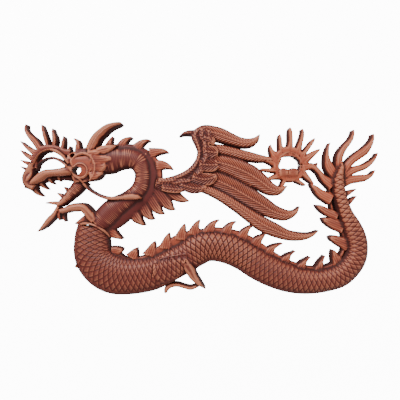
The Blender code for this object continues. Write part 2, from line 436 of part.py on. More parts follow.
def members():
    """Every carved member of the panel."""
    strips = []
    for spines, heights, across in (
            ([BODY_SPINE], BODY, CROWN), ([NECK], NECK_SIDE, CROWN), ([WING_ARM], ARM, CROWN),
            ([NECK_BAND, BACK_RIDGE], BAND, WEDGE), ([SHANK], THIGH, WEDGE), ([HIND_FOOT], FIN, WEDGE),
            ([BROW], LIP, WEDGE), ([WHISKER], STRAND, WEDGE), ([HORN_SPINE], HORN, CROWN),
            ([LOWER_JAW], JAW, CROWN), (FEATHERS[::2], FEATHER, CROWN),
            (FEATHERS[1::2], FEATHER_UNDER, CROWN), (FINS, FIN, WEDGE), (CREST, SPIKE, WEDGE),
            (CHIN, JAW, WEDGE), ([FORELEG], LEG, CROWN), (CLAWS, SPIKE, WEDGE),
            (NECK_SPIKES, SPIKE, WEDGE), (BACK_SPIKES, SPIKE, WEDGE), (TAIL_FLAMES, FLAME, WEDGE),
            (RAYS, FLAME, WEDGE)):
        strips += [strip(spine, heights, across) for spine in spines]
    for spines, heights, across in (
            ([NECK_CORE], NECK_RIDGE, CROWN), ([THIGH_SPINE], THIGH, CROWN),
            ([THIGH_FOLD, COLLAR], SEAM, WEDGE), ([NOSE, CHEEK, CHEEK_LOW], FACE, CROWN),
            ([SNOUT], LIP, CROWN), ([NOSTRIL], LIP, WEDGE), (TEETH, TOOTH, WEDGE),
            ([MOUTH_ROOF], ROOF, WEDGE), ([CREST_ROOT], SPIKE, WEDGE),
            ([EYE_LOBE], LOBE, CROWN), ([EYE_RIM], RIM, WEDGE), (RUFF, OVERLAY, WEDGE),
            ([WING_EDGE], ARM_EDGE, WEDGE), (WING_LEAVES, LEAF, WEDGE), (COVERTS, COVERT, CROWN),
            (KNUCKLES, FLAME_RIM, CROWN)):
        strips += [strip(spine, heights, across, walled=False) for spine in spines]
    strips.append(strip(ring_spine(*RING), FLAME, WEDGE, closed=True))
    strips.append(strip(ring_spine(*RING_RIM), FLAME_RIM, WEDGE, closed=True))
    strips.append(strip(ring_spine(*EYE_RING, 10), RIM, WEDGE, walled=False, closed=True))
    return strips


def ellipse(centre, half_x, half_y, lift, count=10):
    """The outline of a sawn hole."""
    turns = [2 * math.pi * k / count for k in range(count)]
    return np.array([plan(centre[0] + half_x * math.cos(a), centre[1] + half_y * math.sin(a), lift)
                     for a in turns])


def inside_polygon(places, polygon):
    """Which places lie inside the polygon, by counting the edges to one side."""
    inside = np.zeros(len(places), bool)
    for p, q in zip(polygon, np.roll(polygon, -1, axis=0)):
        crosses = (p[1] > places[:, 1]) != (q[1] > places[:, 1])
        rise = q[1] - p[1] if q[1] != p[1] else 1.0
        inside ^= crosses & (places[:, 0] < p[0] + (places[:, 1] - p[1]) / rise * (q[0] - p[0]))
    return inside


def top_height(strips, places, touch=TOUCH, skip=None):
    """The panel's height at each place, and -1 where it is sawn away."""
    best = np.full(len(places), -1.0)
    for member in strips:
        if member is not skip:
            best = np.maximum(best, member.height(places, touch))
    return best


def visible_edges(strips, member, spans, lifts, places):
    """The spans that are not under another member at both ends."""
    hidden = top_height(strips, places, skip=member) > lifts + 1e-4
    return [(a, b) for a, b in spans if not (hidden[a] and hidden[b])]


def drawing_lines(strips):
    """All the lines of the front: outlines, ridges and the feet of the steps, as points and edges."""
    points, edges = [], []

    def add(places, spans):
        used = sorted({i for span in spans for i in span})
        index = {i: len(points) + n for n, i in enumerate(used)}
        points.extend(places[i] for i in used)
        edges.extend((index[a], index[b]) for a, b in spans)

    for member in strips:
        places = member.points[:, :2]
        lifts = member.points[:, 2]
        spans = set(member.ridges)
        for loop in member.outline:
            spans |= {tuple(sorted(pair)) for pair in zip(loop, loop[1:] + loop[:1])}
        spans = [(a, b) for a, b in spans if math.dist(places[a], places[b]) > TOUCH]
        add(places, visible_edges(strips, member, spans, lifts, places))
        for loop in member.outline:
            add(*step_foot(strips, member, places[loop], lifts[loop]))
    return np.array(points), edges


def step_foot(strips, member, loop, lifts):
    """The foot of the step round a member, where it stands over a lower one."""
    ahead = np.roll(loop, -1, axis=0) - np.roll(loop, 1, axis=0)
    size = np.maximum(np.linalg.norm(ahead, axis=1), 1e-9)[:, None]
    out = np.stack((ahead[:, 1], -ahead[:, 0]), axis=1) / size
    feet = loop + out * STEP_GAP
    wrong = member.height(feet, 0.0) >= 0
    feet[wrong] = loop[wrong] - out[wrong] * STEP_GAP
    below = top_height(strips, feet, 0.0, skip=member)
    on = (below > 0) & (below < lifts - LEAST_STEP) & (member.height(feet, 0.0) < 0)
    count = len(loop)
    spans = [(i, (i + 1) % count) for i in range(count) if on[i] and on[(i + 1) % count]]
    return feet, spans


def triangulate(points, edges, epsilon):
    """Triangles over all the points that keep every edge."""
    flat = [Vector(p) * 1000.0 for p in points]
    made = delaunay_2d_cdt(flat, edges, [], 0, epsilon)
    places = np.array([(v.x, v.y) for v in made[0]]) / 1000.0
    return places, np.array([tuple(face) for face in made[2]])


def boundary(triangles):
    """The directed edges that only one of the triangles has."""
    pairs = set()
    for a, b, c in triangles:
        pairs |= {(a, b), (b, c), (c, a)}
    return [(a, b) for a, b in pairs if (b, a) not in pairs]


def islands(triangles, chosen):
    """The chosen triangles in groups that share edges."""
    owner = {}
    for i in chosen:
        a, b, c = triangles[i]
        for pair in ((a, b), (b, c), (c, a)):
            owner.setdefault(tuple(sorted(pair)), []).append(i)
    left, groups = set(chosen), []
    while left:
        stack, group = [left.pop()], []
        while stack:
            i = stack.pop()
            group.append(i)
            a, b, c = triangles[i]
            for pair in ((a, b), (b, c), (c, a)):
                for j in owner[tuple(sorted(pair))]:
                    if j in left:
                        left.remove(j)
                        stack.append(j)
        groups.append(group)
    return groups


def kept_triangles(strips, cuts, places, triangles, lifts):
    """Which triangles are wood: over a member, out of the sawn holes, and joined by more than a point."""
    corners = places[triangles]
    middles = corners.mean(axis=1)
    sizes = 0.5 * np.cross(corners[:, 1] - corners[:, 0], corners[:, 2] - corners[:, 0])
    keep = top_height(strips, middles, 0.0) > 0
    for cut in cuts:
        keep &= ~inside_polygon(middles, cut)
    solid = (lifts > 0)[triangles].all(axis=1)
    for group in islands(triangles, np.nonzero(~keep)[0].tolist()):
        if sizes[group].sum() < SMALLEST_GAP and solid[group].all():
            keep[group] = True
    largest = max(islands(triangles, np.nonzero(keep)[0].tolist()), key=len)
    keep[:] = False
    keep[largest] = True
    for _ in range(20):
        starts = [a for a, b in boundary(triangles[keep])]
        pinched = {a for a in starts if starts.count(a) > 1}
        if not pinched:
            break
        for vertex in pinched:
            round_it = np.nonzero((triangles == vertex).any(axis=1))[0]
            gaps = islands(triangles, [i for i in round_it if not keep[i]])
            gaps = [gap for gap in gaps if solid[gap].all()]
            if gaps:
                keep[min(gaps, key=lambda gap: sizes[gap].sum())] = True
            else:
                fans = islands(triangles, [i for i in round_it if keep[i]])
                keep[min(fans, key=lambda fan: sizes[fan].sum())] = False
    return keep


def panel_mesh():
    """The closed mesh: the carved front, the flat back and the sawn walls between them."""
    strips = members()
    cuts = [ellipse(*EYE_HOLE, LOBE[0] * DEPTH)]
    points, edges = drawing_lines(strips)
    for cut in cuts:
        first = len(points)
        points = np.vstack((points, cut))
        edges += [(first + i, first + (i + 1) % len(cut)) for i in range(len(cut))]
    places, triangles = triangulate(points, edges, MERGE_MM)
    lifts = top_height(strips, places)
    lost = np.nonzero(lifts < 0)[0]
    lifts[lost] = top_height(strips, places[lost], LOOSE_TOUCH)
    keep = kept_triangles(strips, cuts, places, triangles, lifts)
    front = triangles[keep]
    rim = boundary(front)
    used = sorted({i for face in front for i in face})
    top = {i: n for n, i in enumerate(used)}
    rim_points = sorted({i for pair in rim for i in pair})
    foot = {i: len(used) + n for n, i in enumerate(rim_points)}
    low = np.where(lifts[used] > 0, lifts[used], ROOF[0] * DEPTH)
    vertices = [(places[i][0], -h, places[i][1]) for i, h in zip(used, low)]
    vertices += [(places[i][0], 0.0, places[i][1]) for i in rim_points]
    faces = [tuple(top[i] for i in face) for face in front]
    faces += [(top[b], top[a], foot[a], foot[b]) for a, b in rim]
    faces += back_faces(places[rim_points], [(foot[a] - len(used), foot[b] - len(used)) for a, b in rim],
                        len(used))
    return vertices, faces


def back_faces(rim, spans, first):
    """The flat back inside the rim, turned to face away from the carving."""
    flat = [Vector(p) * 1000.0 for p in rim]
    made = delaunay_2d_cdt(flat, spans, [], 0, 1e-5)
    triangles = np.array([tuple(face) for face in made[2]])
    middles = rim[triangles].mean(axis=1)
    inside = np.zeros(len(middles), bool)
    for a, b in spans:
        p, q = rim[a], rim[b]
        crosses = (p[1] > middles[:, 1]) != (q[1] > middles[:, 1])
        rise = q[1] - p[1] if q[1] != p[1] else 1.0
        inside ^= crosses & (middles[:, 0] < p[0] + (middles[:, 1] - p[1]) / rise * (q[0] - p[0]))
    return [(first + c, first + b, first + a) for a, b, c in triangles[inside]]


def wood_material():
    """Satin-varnished reddish-brown hardwood."""
    material = bpy.data.materials.new("carved_wood")
    material.use_nodes = True
    shader = material.node_tree.nodes["Principled BSDF"]
    shader.inputs["Base Color"].default_value = WOOD
    shader.inputs["Roughness"].default_value = 0.42
    shader.inputs["Metallic"].default_value = 0.0
    material.diffuse_color = WOOD
    return material


def main():
    for obj in list(bpy.data.objects):
        bpy.data.objects.remove(obj, do_unlink=True)
    collection = bpy.data.collections.new("dragon_wall_panel")
    bpy.context.scene.collection.children.link(collection)
    vertices, faces = panel_mesh()
    mesh = bpy.data.meshes.new("dragon_panel")
    mesh.from_pydata(vertices, [], faces)
    mesh.validate()
    sculpt = bmesh.new()
    sculpt.from_mesh(mesh)
    bmesh.ops.triangulate(sculpt, faces=sculpt.faces)
    sculpt.to_mesh(mesh)
    sculpt.free()
    mesh.materials.append(wood_material())
    panel = bpy.data.objects.new("dragon_panel", mesh)
    collection.objects.link(panel)


main()
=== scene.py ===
"""A carved and pierced wall panel: a winged dragon with a flaming ring, in varnished reddish-brown wood.

The panel is one piece of wood, so it is one mesh here too. It is a relief: members that each have an
outline, a height and a carved pattern are laid over one another, and the highest shows. A Geometry Nodes
tree then cuts the scales, barbs and grooves that repeat along the members, and the wood is a shader that
knows which places are hollows, worn edges and sawn walls.
"""

import logging
import math
from collections.abc import Iterable, Iterator, Sequence
from dataclasses import dataclass
from enum import Enum

import bpy
import numpy as np
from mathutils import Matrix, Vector
from mathutils.geometry import delaunay_2d_cdt


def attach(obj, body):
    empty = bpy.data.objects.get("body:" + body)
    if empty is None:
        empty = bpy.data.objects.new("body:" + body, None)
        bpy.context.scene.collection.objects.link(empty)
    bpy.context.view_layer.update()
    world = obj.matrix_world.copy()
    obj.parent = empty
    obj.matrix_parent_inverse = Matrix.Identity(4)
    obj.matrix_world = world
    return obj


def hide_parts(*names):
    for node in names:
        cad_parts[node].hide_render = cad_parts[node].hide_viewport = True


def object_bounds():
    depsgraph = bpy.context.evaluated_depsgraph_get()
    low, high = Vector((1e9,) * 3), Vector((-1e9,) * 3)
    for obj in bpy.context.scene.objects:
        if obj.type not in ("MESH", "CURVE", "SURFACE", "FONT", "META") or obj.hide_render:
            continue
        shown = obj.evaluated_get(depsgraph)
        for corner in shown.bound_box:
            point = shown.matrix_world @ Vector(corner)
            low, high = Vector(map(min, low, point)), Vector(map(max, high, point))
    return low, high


LOG = logging.getLogger("dragon_panel")

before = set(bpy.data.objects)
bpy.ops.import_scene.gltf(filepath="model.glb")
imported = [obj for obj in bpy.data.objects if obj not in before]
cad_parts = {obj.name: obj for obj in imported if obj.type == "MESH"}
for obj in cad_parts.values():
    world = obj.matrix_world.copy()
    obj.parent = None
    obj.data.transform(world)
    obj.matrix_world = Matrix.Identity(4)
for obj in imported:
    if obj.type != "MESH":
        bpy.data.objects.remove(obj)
CAD_BOX = [list(corner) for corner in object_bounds()]

# Sizes in metres. The figure is drawn on a grid of units, x to the right and y down, as in part.py.
LENGTH = 0.600  # from the nose spikes to the tail flames
DEPTH = 0.032  # from the flat back to the highest carving
VIEW_DISTANCE = 0.66  # eye to back: what stands proud looks larger from here, so it is drawn smaller

GRID_LENGTH = 348.55  # units in LENGTH, once what stands proud is drawn smaller
GRID_EYE = (200.0, 200.0)  # the point the drawing is seen straight at
GRID_HANG = (206.0, 160.0)  # the hanging place, which is the origin
UNIT = LENGTH / GRID_LENGTH

# Heights above the back at the edge and along the crown, as shares of DEPTH.
SPIKE = (0.54, 0.62)
FLAME = (0.54, 0.65)
FLAME_RIM = (0.64, 0.72)
FIN = (0.46, 0.60)
BAND = (0.48, 0.56)
FEATHER = (0.54, 0.76)
FEATHER_UNDER = (0.47, 0.68)
COVERT = (0.72, 0.80)
LEAF = (0.74, 0.80)
ARM = (0.64, 0.74)
ARM_EDGE = (0.68, 0.78)
LEG = (0.60, 0.84)
NECK_SIDE = (0.54, 0.66)
NECK_RIDGE = (0.56, 0.86)
BODY = (0.56, 0.94)
THIGH = (0.74, 1.00)
FACE = (0.60, 0.80)
LIP = (0.64, 0.86)
HORN = (0.52, 0.82)
JAW = (0.42, 0.64)
TOOTH = (0.36, 0.48)
ROOF = (0.26, 0.34)
STRAND = (0.50, 0.56)
LOBE = (0.82, 0.90)
RIM = (0.90, 0.98)
SEAM = (0.90, 0.96)
OVERLAY = (0.82, 0.92)

STEP_GAP = 0.00035  # width of the steep wall where a high member stands over a lower one
TIP_ROUND = 0.6  # how far a blunt end is drawn out, as a share of its half width
SLIM = 2.5  # half width in units below which a member's crown gets lower
ROUNDNESS = 2.2  # power of the curve across a member: 2 is a parabola, more is flatter on top
BLUNT = (0.4, 2.2)  # half widths in units between which a spine's end is rounded off
TOUCH = 0.00005  # a point this close to a strip counts as on it
NARROWEST = 0.45  # of a member's width is kept where its sawn wall shows
MERGE_MM = 0.06  # points closer than this become one
BACK_MERGE_MM = 0.00001  # the same on the back
HIDDEN_BY = 0.0001  # a line this far under another member isn't drawn
LEAST_STEP = 0.0006  # a member this little above another has no step drawn
SMALLEST_GAP = 4.0e-6  # square metres: closer gaps between members are left solid
GRID_WIDTH = 400.0  # units across the whole view
PANEL_MIDDLE = -0.07  # how high the panel's middle is, from the hanging place

# Detail. COARSE above 1 spaces the points farther apart.
COARSE = 1.0
OUTLINE_STEP = 0.0024 * COARSE  # between points of an outline
EDGE_MARGIN = 0.0006  # kept free of surface points inside an outline
PLAIN_STEP = 0.0019  # between surface points where there is no pattern
ROW_SHARE = 0.87  # rows of a triangular lattice lie this share of its spacing apart
RING_COUNT = 16  # spine points round a ring
HOLE_COUNT = 20  # outline points round a hole
BLOCK = 24  # patches of a member that are looked through at once

# The carved patterns.
SCALE_PITCH = 0.0084  # length of a scale
SCALE_WIDTH = 0.0180  # width of two scales side by side
STRIA_PITCH = 0.0027  # between the ribs of the neck
BARB_PITCH = 0.0052  # between a feather's barbs, along its shaft
BARB_SLANT = 1.3  # how far a barb runs back for each unit away from the shaft
SHAFT = (0.0006, 0.0016)  # half widths of a feather's shaft at its top and its foot
FLUTE_PITCH = 0.0036  # between grooves that run with a spike
PATTERN_FADE = 0.0016  # over which a pattern dies out towards a member's edge
BELLY = 0.86  # share across the body past which its belly is plain
BELLY_FADE = 0.08  # of the same share, over which the scales die out
RIM_WIDTH = 0.0022  # of a rubbed edge
PIT = ((71.6, 155.4), 2.9, 2.9)  # a drilled blind pit above the eye: centre and half axes
PIT_FLOOR = (2.5, 2.5)  # half axes of the pit's floor
PIT_DEPTH = 0.009

# Wear and painted shade: how far a point stands above or below the level of its surroundings, near by and
# farther off. High places are rubbed lighter; low places are darkened, partly by the dark finish that pools
# there and partly as painted shade.
NEAR_TURNS, FAR_TURNS = 3, 40  # rounds of smoothing that give the two levels
NEAR_RISE, FAR_RISE = 0.0004, 0.003  # rises that count as 1
SMOOTH_ANGLE = math.radians(48)  # a sharper fold than this is shaded as an edge

# Spines: points of (x, y, half width) as the member is seen, sawn wall included. A fourth number lifts the
# member there by that share of DEPTH. The last point of a spike is its tip.
NECK = [(99, 161, 13.6), (110.5, 158.8, 14.6), (120, 156.8, 13), (130, 156.6, 12), (140, 160.3, 12),
        (146, 170, 12.1), (146.6, 179.5, 12), (144.5, 188.5, 12.6), (139, 196, 12.5),
        (130.5, 202.8, 12.9), (121.5, 208.8, 14.6), (113.5, 214.5, 15.4), (105, 221.5, 14), (98.5, 228, 12)]
NECK_CORE = [(99, 161, 13.6), (110.5, 159.4, 14), (120, 158.4, 11.4), (130, 158.3, 10.3),
             (138.7, 161.8, 10), (142.7, 171, 8.6), (143, 179.2, 8.5), (141, 187, 8.9),
             (136, 193.2, 8.5), (128, 199.6, 8.9), (119.2, 205.5, 10.6), (111.4, 211.7, 11.9),
             (104, 219, 11.5), (98.5, 225.5, 9.5)]
NECK_BAND = [(112, 147.5, 1.8), (121, 145.6, 1.8), (131, 145.8, 1.8), (140, 148.3, 2), (147, 152.2, 2.6),
             (152.5, 157.5, 3.4), (156.8, 164.5, 3.8), (159.2, 172, 3.6), (159.6, 180, 3.6), (159, 187, 4)]
BODY_SPINE = [(94.3, 227, 16.6), (93.2, 235, 18.2), (93, 242, 19), (93.3, 250, 19.8), (95.3, 257.3, 20.3),
              (100, 264, 21), (107.5, 270, 21.3), (116.5, 274, 20.6), (127.5, 275.6, 19),
              (140, 275, 18.2), (151.8, 273, 17.3), (162.6, 268.7, 16.4), (174.3, 262.6, 16.2),
              (186.5, 256.3, 15.7), (197, 249.6, 16.2), (207, 246, 15.6), (218.5, 246.2, 15.5),
              (232.5, 249.8, 15.7), (245.5, 256.5, 15.3), (258.5, 264.5, 15.7), (272.5, 271.5, 15.6),
              (287.5, 277, 15.1), (301, 280, 14), (315, 280.3, 13.3), (328.5, 278, 13.1),
              (339, 274, 13.6), (347.5, 266.5, 13.6), (353.5, 257.5, 13.2), (355.5, 247.5, 12.6),
              (354, 237, 12.2), (350, 226.5, 11), (344.5, 215, 9.2), (340, 202.5, 8.6),
              (337, 190, 8.4), (336.5, 178, 7.4), (338.5, 170, 5), (341.5, 163, 1.5)]
BACK_RIDGE = [(118, 253, 3.4), (126, 257.8, 2.2), (141, 257.6, 2.4), (150, 254.8, 3.5), (159, 250.5, 4.6),
              (171, 243.5, 5.5), (184, 236.6, 4.8), (197, 232, 3), (210, 230.6, 2.6), (218, 230.2, 3.2),
              (236, 233.2, 3.2), (249, 239.6, 4.2), (262.5, 247.6, 3.8), (277, 256, 2.6), (291, 262.4, 2),
              (309, 267.2, 2), (323, 267, 2.8), (334, 262, 3.2), (340.5, 253, 3), (343, 244, 2.8),
              (342, 235.5, 2.8), (338, 226, 2.8), (334, 217, 2.8), (331, 210, 2.6), (329, 200, 2.2),
              (328.6, 190, 2)]
COLLAR = [(77.6, 225.6, 0.7, -0.32), (83, 223.6, 1, -0.08), (90, 224.2, 1, 0.02), (97, 227, 1, 0.03),
          (104, 231, 1, -0.06), (110, 236.6, 0.7, -0.25)]
WING_ARM = [(156, 183, 5.5), (166, 185, 7.5), (178, 183.5, 9), (188, 179.5, 9.3), (196, 172.5, 8.4),
            (201.5, 163, 6.6), (204.5, 153, 7), (203.5, 143.5, 7), (199, 137, 6.3), (192, 133.8, 4),
            (185, 134.2, 2.8), (179, 136, 0)]
WING_EDGE = [(204, 128.4, 2), (197.5, 131, 3.2), (194.8, 136, 3.6), (196.8, 142, 3), (199, 149, 2.4),
             (199, 156, 2.4), (197, 162.5, 3), (192, 169.2, 3.2), (185, 174, 3), (177, 177.6, 2.4),
             (167, 180.4, 2.4), (160, 181, 2.6)]
WING_LEAVES = [
    [(158.5, 181, 2.8), (167, 181, 3), (174, 180.2, 2.2), (180, 179.2, 0)],
    [(172, 183.4, 2), (181, 182, 3), (187, 181.4, 2.6), (192.5, 179.8, 0)],
    [(162, 187.6, 3), (170, 188.6, 3.8), (179, 189.4, 3.2), (189, 188.8, 0)],
    [(201.5, 128, 3.4), (202.4, 134, 3), (203, 139, 1.8), (203.2, 142, 0)],
    [(208.5, 129.5, 3.2), (208.8, 136, 3), (208.6, 142, 1.6), (208.4, 145, 0)],
    [(204, 141.5, 1), (205.4, 146, 2.2), (205.2, 151, 2.2), (203.8, 155, 0)],
    [(206.2, 153, 1.8), (205.8, 158.5, 2.8), (203, 164, 2.8), (199, 168.6, 0)],
    [(203, 166, 2), (200.5, 171, 2.6), (197, 175, 2.2), (193, 177.6, 0)],
]
FEATHERS = [
    [(195.5, 133.5, 4.6), (200.5, 133, 7.2), (206, 133, 8.3), (213, 134, 8.3), (221, 136, 8),
     (230, 139.6, 7), (240, 143, 6), (249, 143.5, 5.3), (255.5, 140.3, 3.6), (259.4, 134.6, 0.8)],
    [(206, 148.5, 5.6), (220, 150.3, 6), (231, 152.6, 5.9), (243.5, 155.8, 5.8), (255, 158.4, 5.2),
     (264, 159.6, 4), (272, 160.6, 3)],
    [(206, 160.5, 8), (221, 164, 9), (235, 168.4, 10.2), (249, 175, 10.8), (260, 182.2, 9.2),
     (270, 189.3, 7.2), (278.5, 190.2, 4.8), (287, 185.6, 0.8)],
    [(203, 175.5, 9), (215, 180, 10.2), (231.5, 187.8, 10.8), (247.5, 197, 10.6), (261.5, 205.2, 9.4),
     (273.5, 212, 7.6), (285, 214.8, 6), (294, 212, 3.6), (299.2, 206.2, 0.8)],
    [(200, 187.5, 4.4), (211, 191.5, 5), (224, 198.4, 5.4), (239, 208.3, 6), (252, 217.5, 6.8),
     (262.5, 224.3, 7.8), (274, 229.8, 7.3), (288, 235, 5.7), (301.5, 236, 4.6), (311, 234, 3.2),
     (318.4, 230.2, 0.8)],
]
COVERTS = [
    [(203, 136.5, 4), (208, 138.5, 4.6), (211.8, 141, 3.8), (213.8, 144, 1.6)],
    [(204, 151, 5.6), (210.5, 152, 6.4), (215, 152.6, 5.8), (218, 153, 3)],
    [(199, 164, 5.6), (207.5, 165, 6.4), (214, 165, 6), (218.4, 164.6, 3)],
    [(192, 176.4, 5.4), (202, 179.2, 6), (210, 178.8, 5.6), (216.6, 176.4, 2.4)],
    [(180, 184, 4), (190, 187.4, 5.6), (199, 188.4, 4.6), (206, 187.4, 1.6)],
]
FINS = [
    [(165, 187, 8), (172, 192.5, 7), (179, 197.6, 4.8), (184, 199.8, 3), (188.8, 201, 0.8)],
    [(156, 188, 9), (162, 196, 8), (167.5, 203.5, 6), (171.5, 207.8, 3.4), (175.3, 209.6, 0.8)],
    [(149, 195, 10), (154.5, 204, 7.4), (158.5, 209.6, 5), (161.5, 212.4, 2.8), (164.8, 214, 0.8)],
    [(143, 204, 8), (147, 212, 6.4), (150, 216, 4.2), (152.4, 218, 2.6), (155.2, 219.2, 0.8)],
    [(133, 210, 8), (137.5, 217.5, 6.2), (141, 221.4, 4), (143.6, 223.6, 2.4), (146.4, 225.2, 0.8)],
]
CREST = [
    [(43, 152, 5), (39, 145, 4.6), (35, 139.8, 4.2), (29.4, 133.8, 3.4), (26.6, 128.6, 2.6),
     (26.2, 124, 0.8)],
    [(49, 152, 3.8), (49, 146, 3.5), (47.5, 139.5, 3.7), (45.5, 133.5, 3.4), (43.6, 128, 2.4),
     (42, 124.4, 0.8)],
    [(55.5, 152, 4), (55.8, 146, 4), (56.2, 141, 4.2), (55.6, 136.5, 3.9), (54.2, 132, 2.8),
     (52.8, 128.2, 0.8)],
    [(62.5, 153, 3.6), (64.2, 147, 3.6), (64.8, 142, 3.4), (64.6, 138.8, 2.2), (63.6, 135.8, 0.6)],
    [(69.5, 153, 3.4), (70.3, 149, 2.4), (70, 145.8, 0.6)],
    [(79.5, 152, 5), (79.4, 146.5, 4.2), (79, 142.8, 3.2), (76.8, 140, 2), (73.8, 138.8, 0.7)],
    [(38, 154, 4.6), (32.6, 150.6, 3.4), (27, 146.4, 2.4), (20.8, 141, 0.9)],
    [(37, 160, 4.6), (31, 157, 3.4), (26, 154, 2.4), (20.8, 150, 0.9)],
    [(35, 165.6, 4), (30, 163.6, 2.9), (25.4, 161.8, 2), (20.8, 159.8, 0.9)],
    [(31, 171, 3.4), (25.6, 168.4, 2), (20.6, 166.2, 0.7)],
]
CREST_ROOT = [(34, 168, 3.6), (34.4, 160, 3.4), (37.4, 153, 3.4), (43, 148.6, 3.2), (50, 147.6, 3),
              (57, 148.6, 3), (63.5, 151.6, 3.4), (70, 153, 4)]
HORN_SPINE = [(91.5, 152, 7), (95, 144, 7.2), (98.5, 138, 6.7), (103, 133.5, 6.3), (108.5, 129, 5.5),
              (114.8, 126.2, 4.2), (120, 124.9, 3.2), (123.6, 124.4, 1.6)]
NOSE = [(32, 164, 3), (29.4, 171.5, 4.8), (27.6, 178, 5.8), (28.6, 184, 4.8), (33.5, 188, 3)]
NOSTRIL = [(32.4, 171.4, 1), (31, 175.4, 2), (28.6, 179.4, 2.4), (26.4, 182.8, 1)]
BROW = [(33, 173, 2.2), (34.6, 165, 2.6), (37.4, 158.6, 2.6), (42.4, 153.2, 2.4), (49, 150.6, 2.2),
        (56, 151.2, 2.2), (62, 154.2, 2.6), (67, 159, 3), (72, 165, 3)]
SNOUT = [(30.5, 184, 1.6), (35, 180.6, 3.4), (40, 177, 4.4), (45, 173.8, 4.2), (52, 172.6, 3.6),
         (60, 172, 4), (67, 170.6, 4.6), (73, 169.4, 5)]
CHEEK = [(68, 160, 6), (73, 160, 8), (79, 160, 11), (86, 161, 14), (92, 163.5, 14), (98, 165, 11)]
CHEEK_LOW = [(82, 164, 9), (82.6, 174, 11), (83.5, 182, 9)]
EYE_LOBE = [(70.5, 161, 2.4), (74.5, 162, 6.4), (79, 164.4, 9.6), (83.5, 166.5, 11.6), (87.5, 168.6, 10),
            (91, 170.4, 5)]
EYE_RIM = [(72.4, 158.6, 0.6), (77, 154.8, 1.1), (83.6, 153.2, 1.3), (90, 156, 1.3), (93.8, 161.8, 1.3),
           (94.6, 168.4, 1.3), (93, 174.6, 1.1), (89.4, 180.4, 0.6)]
EYE_RING = ((80, 170.6), 7.2, 1.2)  # centre, radius and half width
LOWER_JAW = [(84, 180, 8.6), (77, 189.3, 7.3), (72, 194.3, 6.6), (67.5, 199, 5.6), (62.5, 203.3, 4.6),
             (58, 206, 3.2)]
MOUTH_ROOF = [(34, 184, 3), (45, 180.5, 2.4), (55, 178.5, 2.2), (66, 178, 2.6), (76, 178.5, 4)]
TEETH = [
    [(33.5, 182, 4), (34.5, 188.5, 3.2), (37, 192.5, 2.2), (42.6, 196.2, 0.6)],
    [(40, 181, 2.8), (42, 185, 2.2), (47.6, 189.2, 0.6)],
    [(48.5, 177, 2.6), (50.5, 181, 1.8), (53.8, 184, 0.5)],
    [(58, 175.5, 2), (59, 179, 1.5), (60, 181.5, 0.4)],
    [(71, 192, 2.6), (67.5, 190, 1.9), (64.2, 187.2, 0.5)],
    [(66, 198, 2.8), (61.5, 195.5, 1.9), (57.4, 193.2, 0.5)],
]
CHIN = [
    [(61, 204, 3), (56, 203, 2.2), (50, 202.8, 1.3), (46, 203, 0.6)],
    [(60, 207, 3.5), (57, 213, 4), (54, 217, 4.2), (50, 221, 4.3), (45.5, 226, 3.6), (40.4, 230.4, 2),
     (38, 231.8, 1)],
]
RUFF = [
    [(90, 159, 6), (101, 159.6, 5), (108, 158.8, 3.2), (114.4, 159.2, 0)],
    [(92, 167, 6), (101, 167, 5), (107.8, 164.6, 0)],
    [(88, 154, 3), (97, 152.6, 3.4), (102.5, 150.6, 0)],
    [(90, 176, 5), (97, 175, 4), (103, 172.6, 0)],
    [(97, 151, 3), (104, 149.6, 4.4), (110, 147.8, 3.2), (116, 145.6, 0)],
]
WHISKER = [(36.5, 171, 1.9, 0), (38, 165.5, 1.8, 0), (42, 161.3, 1.7, 0), (48, 158.7, 1.6, 0),
           (54, 158.3, 1.6, 0.04), (60, 160.3, 1.6, 0.2), (65, 164, 1.6, 0.36), (70, 168.5, 1.7, 0.42),
           (75, 173.5, 1.7, 0.42), (80, 179, 1.8, 0.4), (85, 184.5, 1.8, 0.3), (88.5, 188.2, 1.8, 0.2),
           (92, 191, 1.8, 0.12), (98, 194.5, 1.8, 0.1), (105, 197.3, 1.9, 0.24), (112, 198.4, 2, 0.38),
           (121, 198, 2.2, 0.42), (130, 196.9, 3, 0.43), (137, 197, 2.6, 0.42), (143.5, 198.4, 0, 0.4)]
FORELEG = [(61, 211, 3), (66, 210.5, 3.6), (71, 208.5, 4.4), (77, 207.5, 4.6), (83, 207, 5),
           (87.5, 209.8, 6), (91.5, 214.5, 6.4), (97, 221, 7)]
CLAWS = [
    [(61, 210, 2.8), (60, 214, 2.6), (60, 218.5, 2), (60, 220.3, 0.8)],
    [(65, 211, 2.4), (64.6, 217, 2.2), (65.2, 221.8, 0.6)],
    [(89, 219, 6), (82, 221.8, 4), (75, 223.6, 0.6)],
]
THIGH_SPINE = [(153, 271, 9), (160, 271.5, 12.5), (170, 268.5, 12.6), (180, 264, 10.3), (187, 262, 8.4)]
THIGH_FOLD = [(159, 259.4, 0.5, -0.08), (166, 257.6, 0.8, -0.06), (175, 255.6, 0.8, 0),
              (184, 254.4, 0.8, 0.02), (190, 254.4, 0.5, 0.02)]
SHANK = [(184, 260, 7.4), (190.5, 269, 6.2), (194.5, 276, 5.2), (200, 282.3, 3.8), (205.8, 288.6, 0.8)]
HIND_FOOT = [(199, 284, 2.4), (191, 287, 3), (184, 285.5, 2.9), (177, 283.7, 3.1), (170, 284.9, 3.2),
             (166.5, 288.6, 2.6), (165.6, 292.4, 1.6)]
NECK_SPIKES = [
    [(109, 150, 6), (110.2, 145, 4.6), (112, 140, 2.9), (113, 136.8, 1.2)],
    [(121, 149, 6.4), (124.5, 142.8, 4.8), (129, 139.3, 2.8), (132.8, 137.4, 1.1)],
    [(137, 149, 6.4), (141.5, 144.3, 4.6), (146.5, 141.4, 2.7), (151.2, 140.8, 1.2)],
    [(150, 154, 6.5), (156.5, 152.4, 4.6), (163.5, 151.7, 3), (169.2, 152.9, 1.1)],
    [(156, 166, 6.5), (162.5, 165.5, 5), (168, 166.6, 3.1), (173.2, 169.4, 1.1)],
]
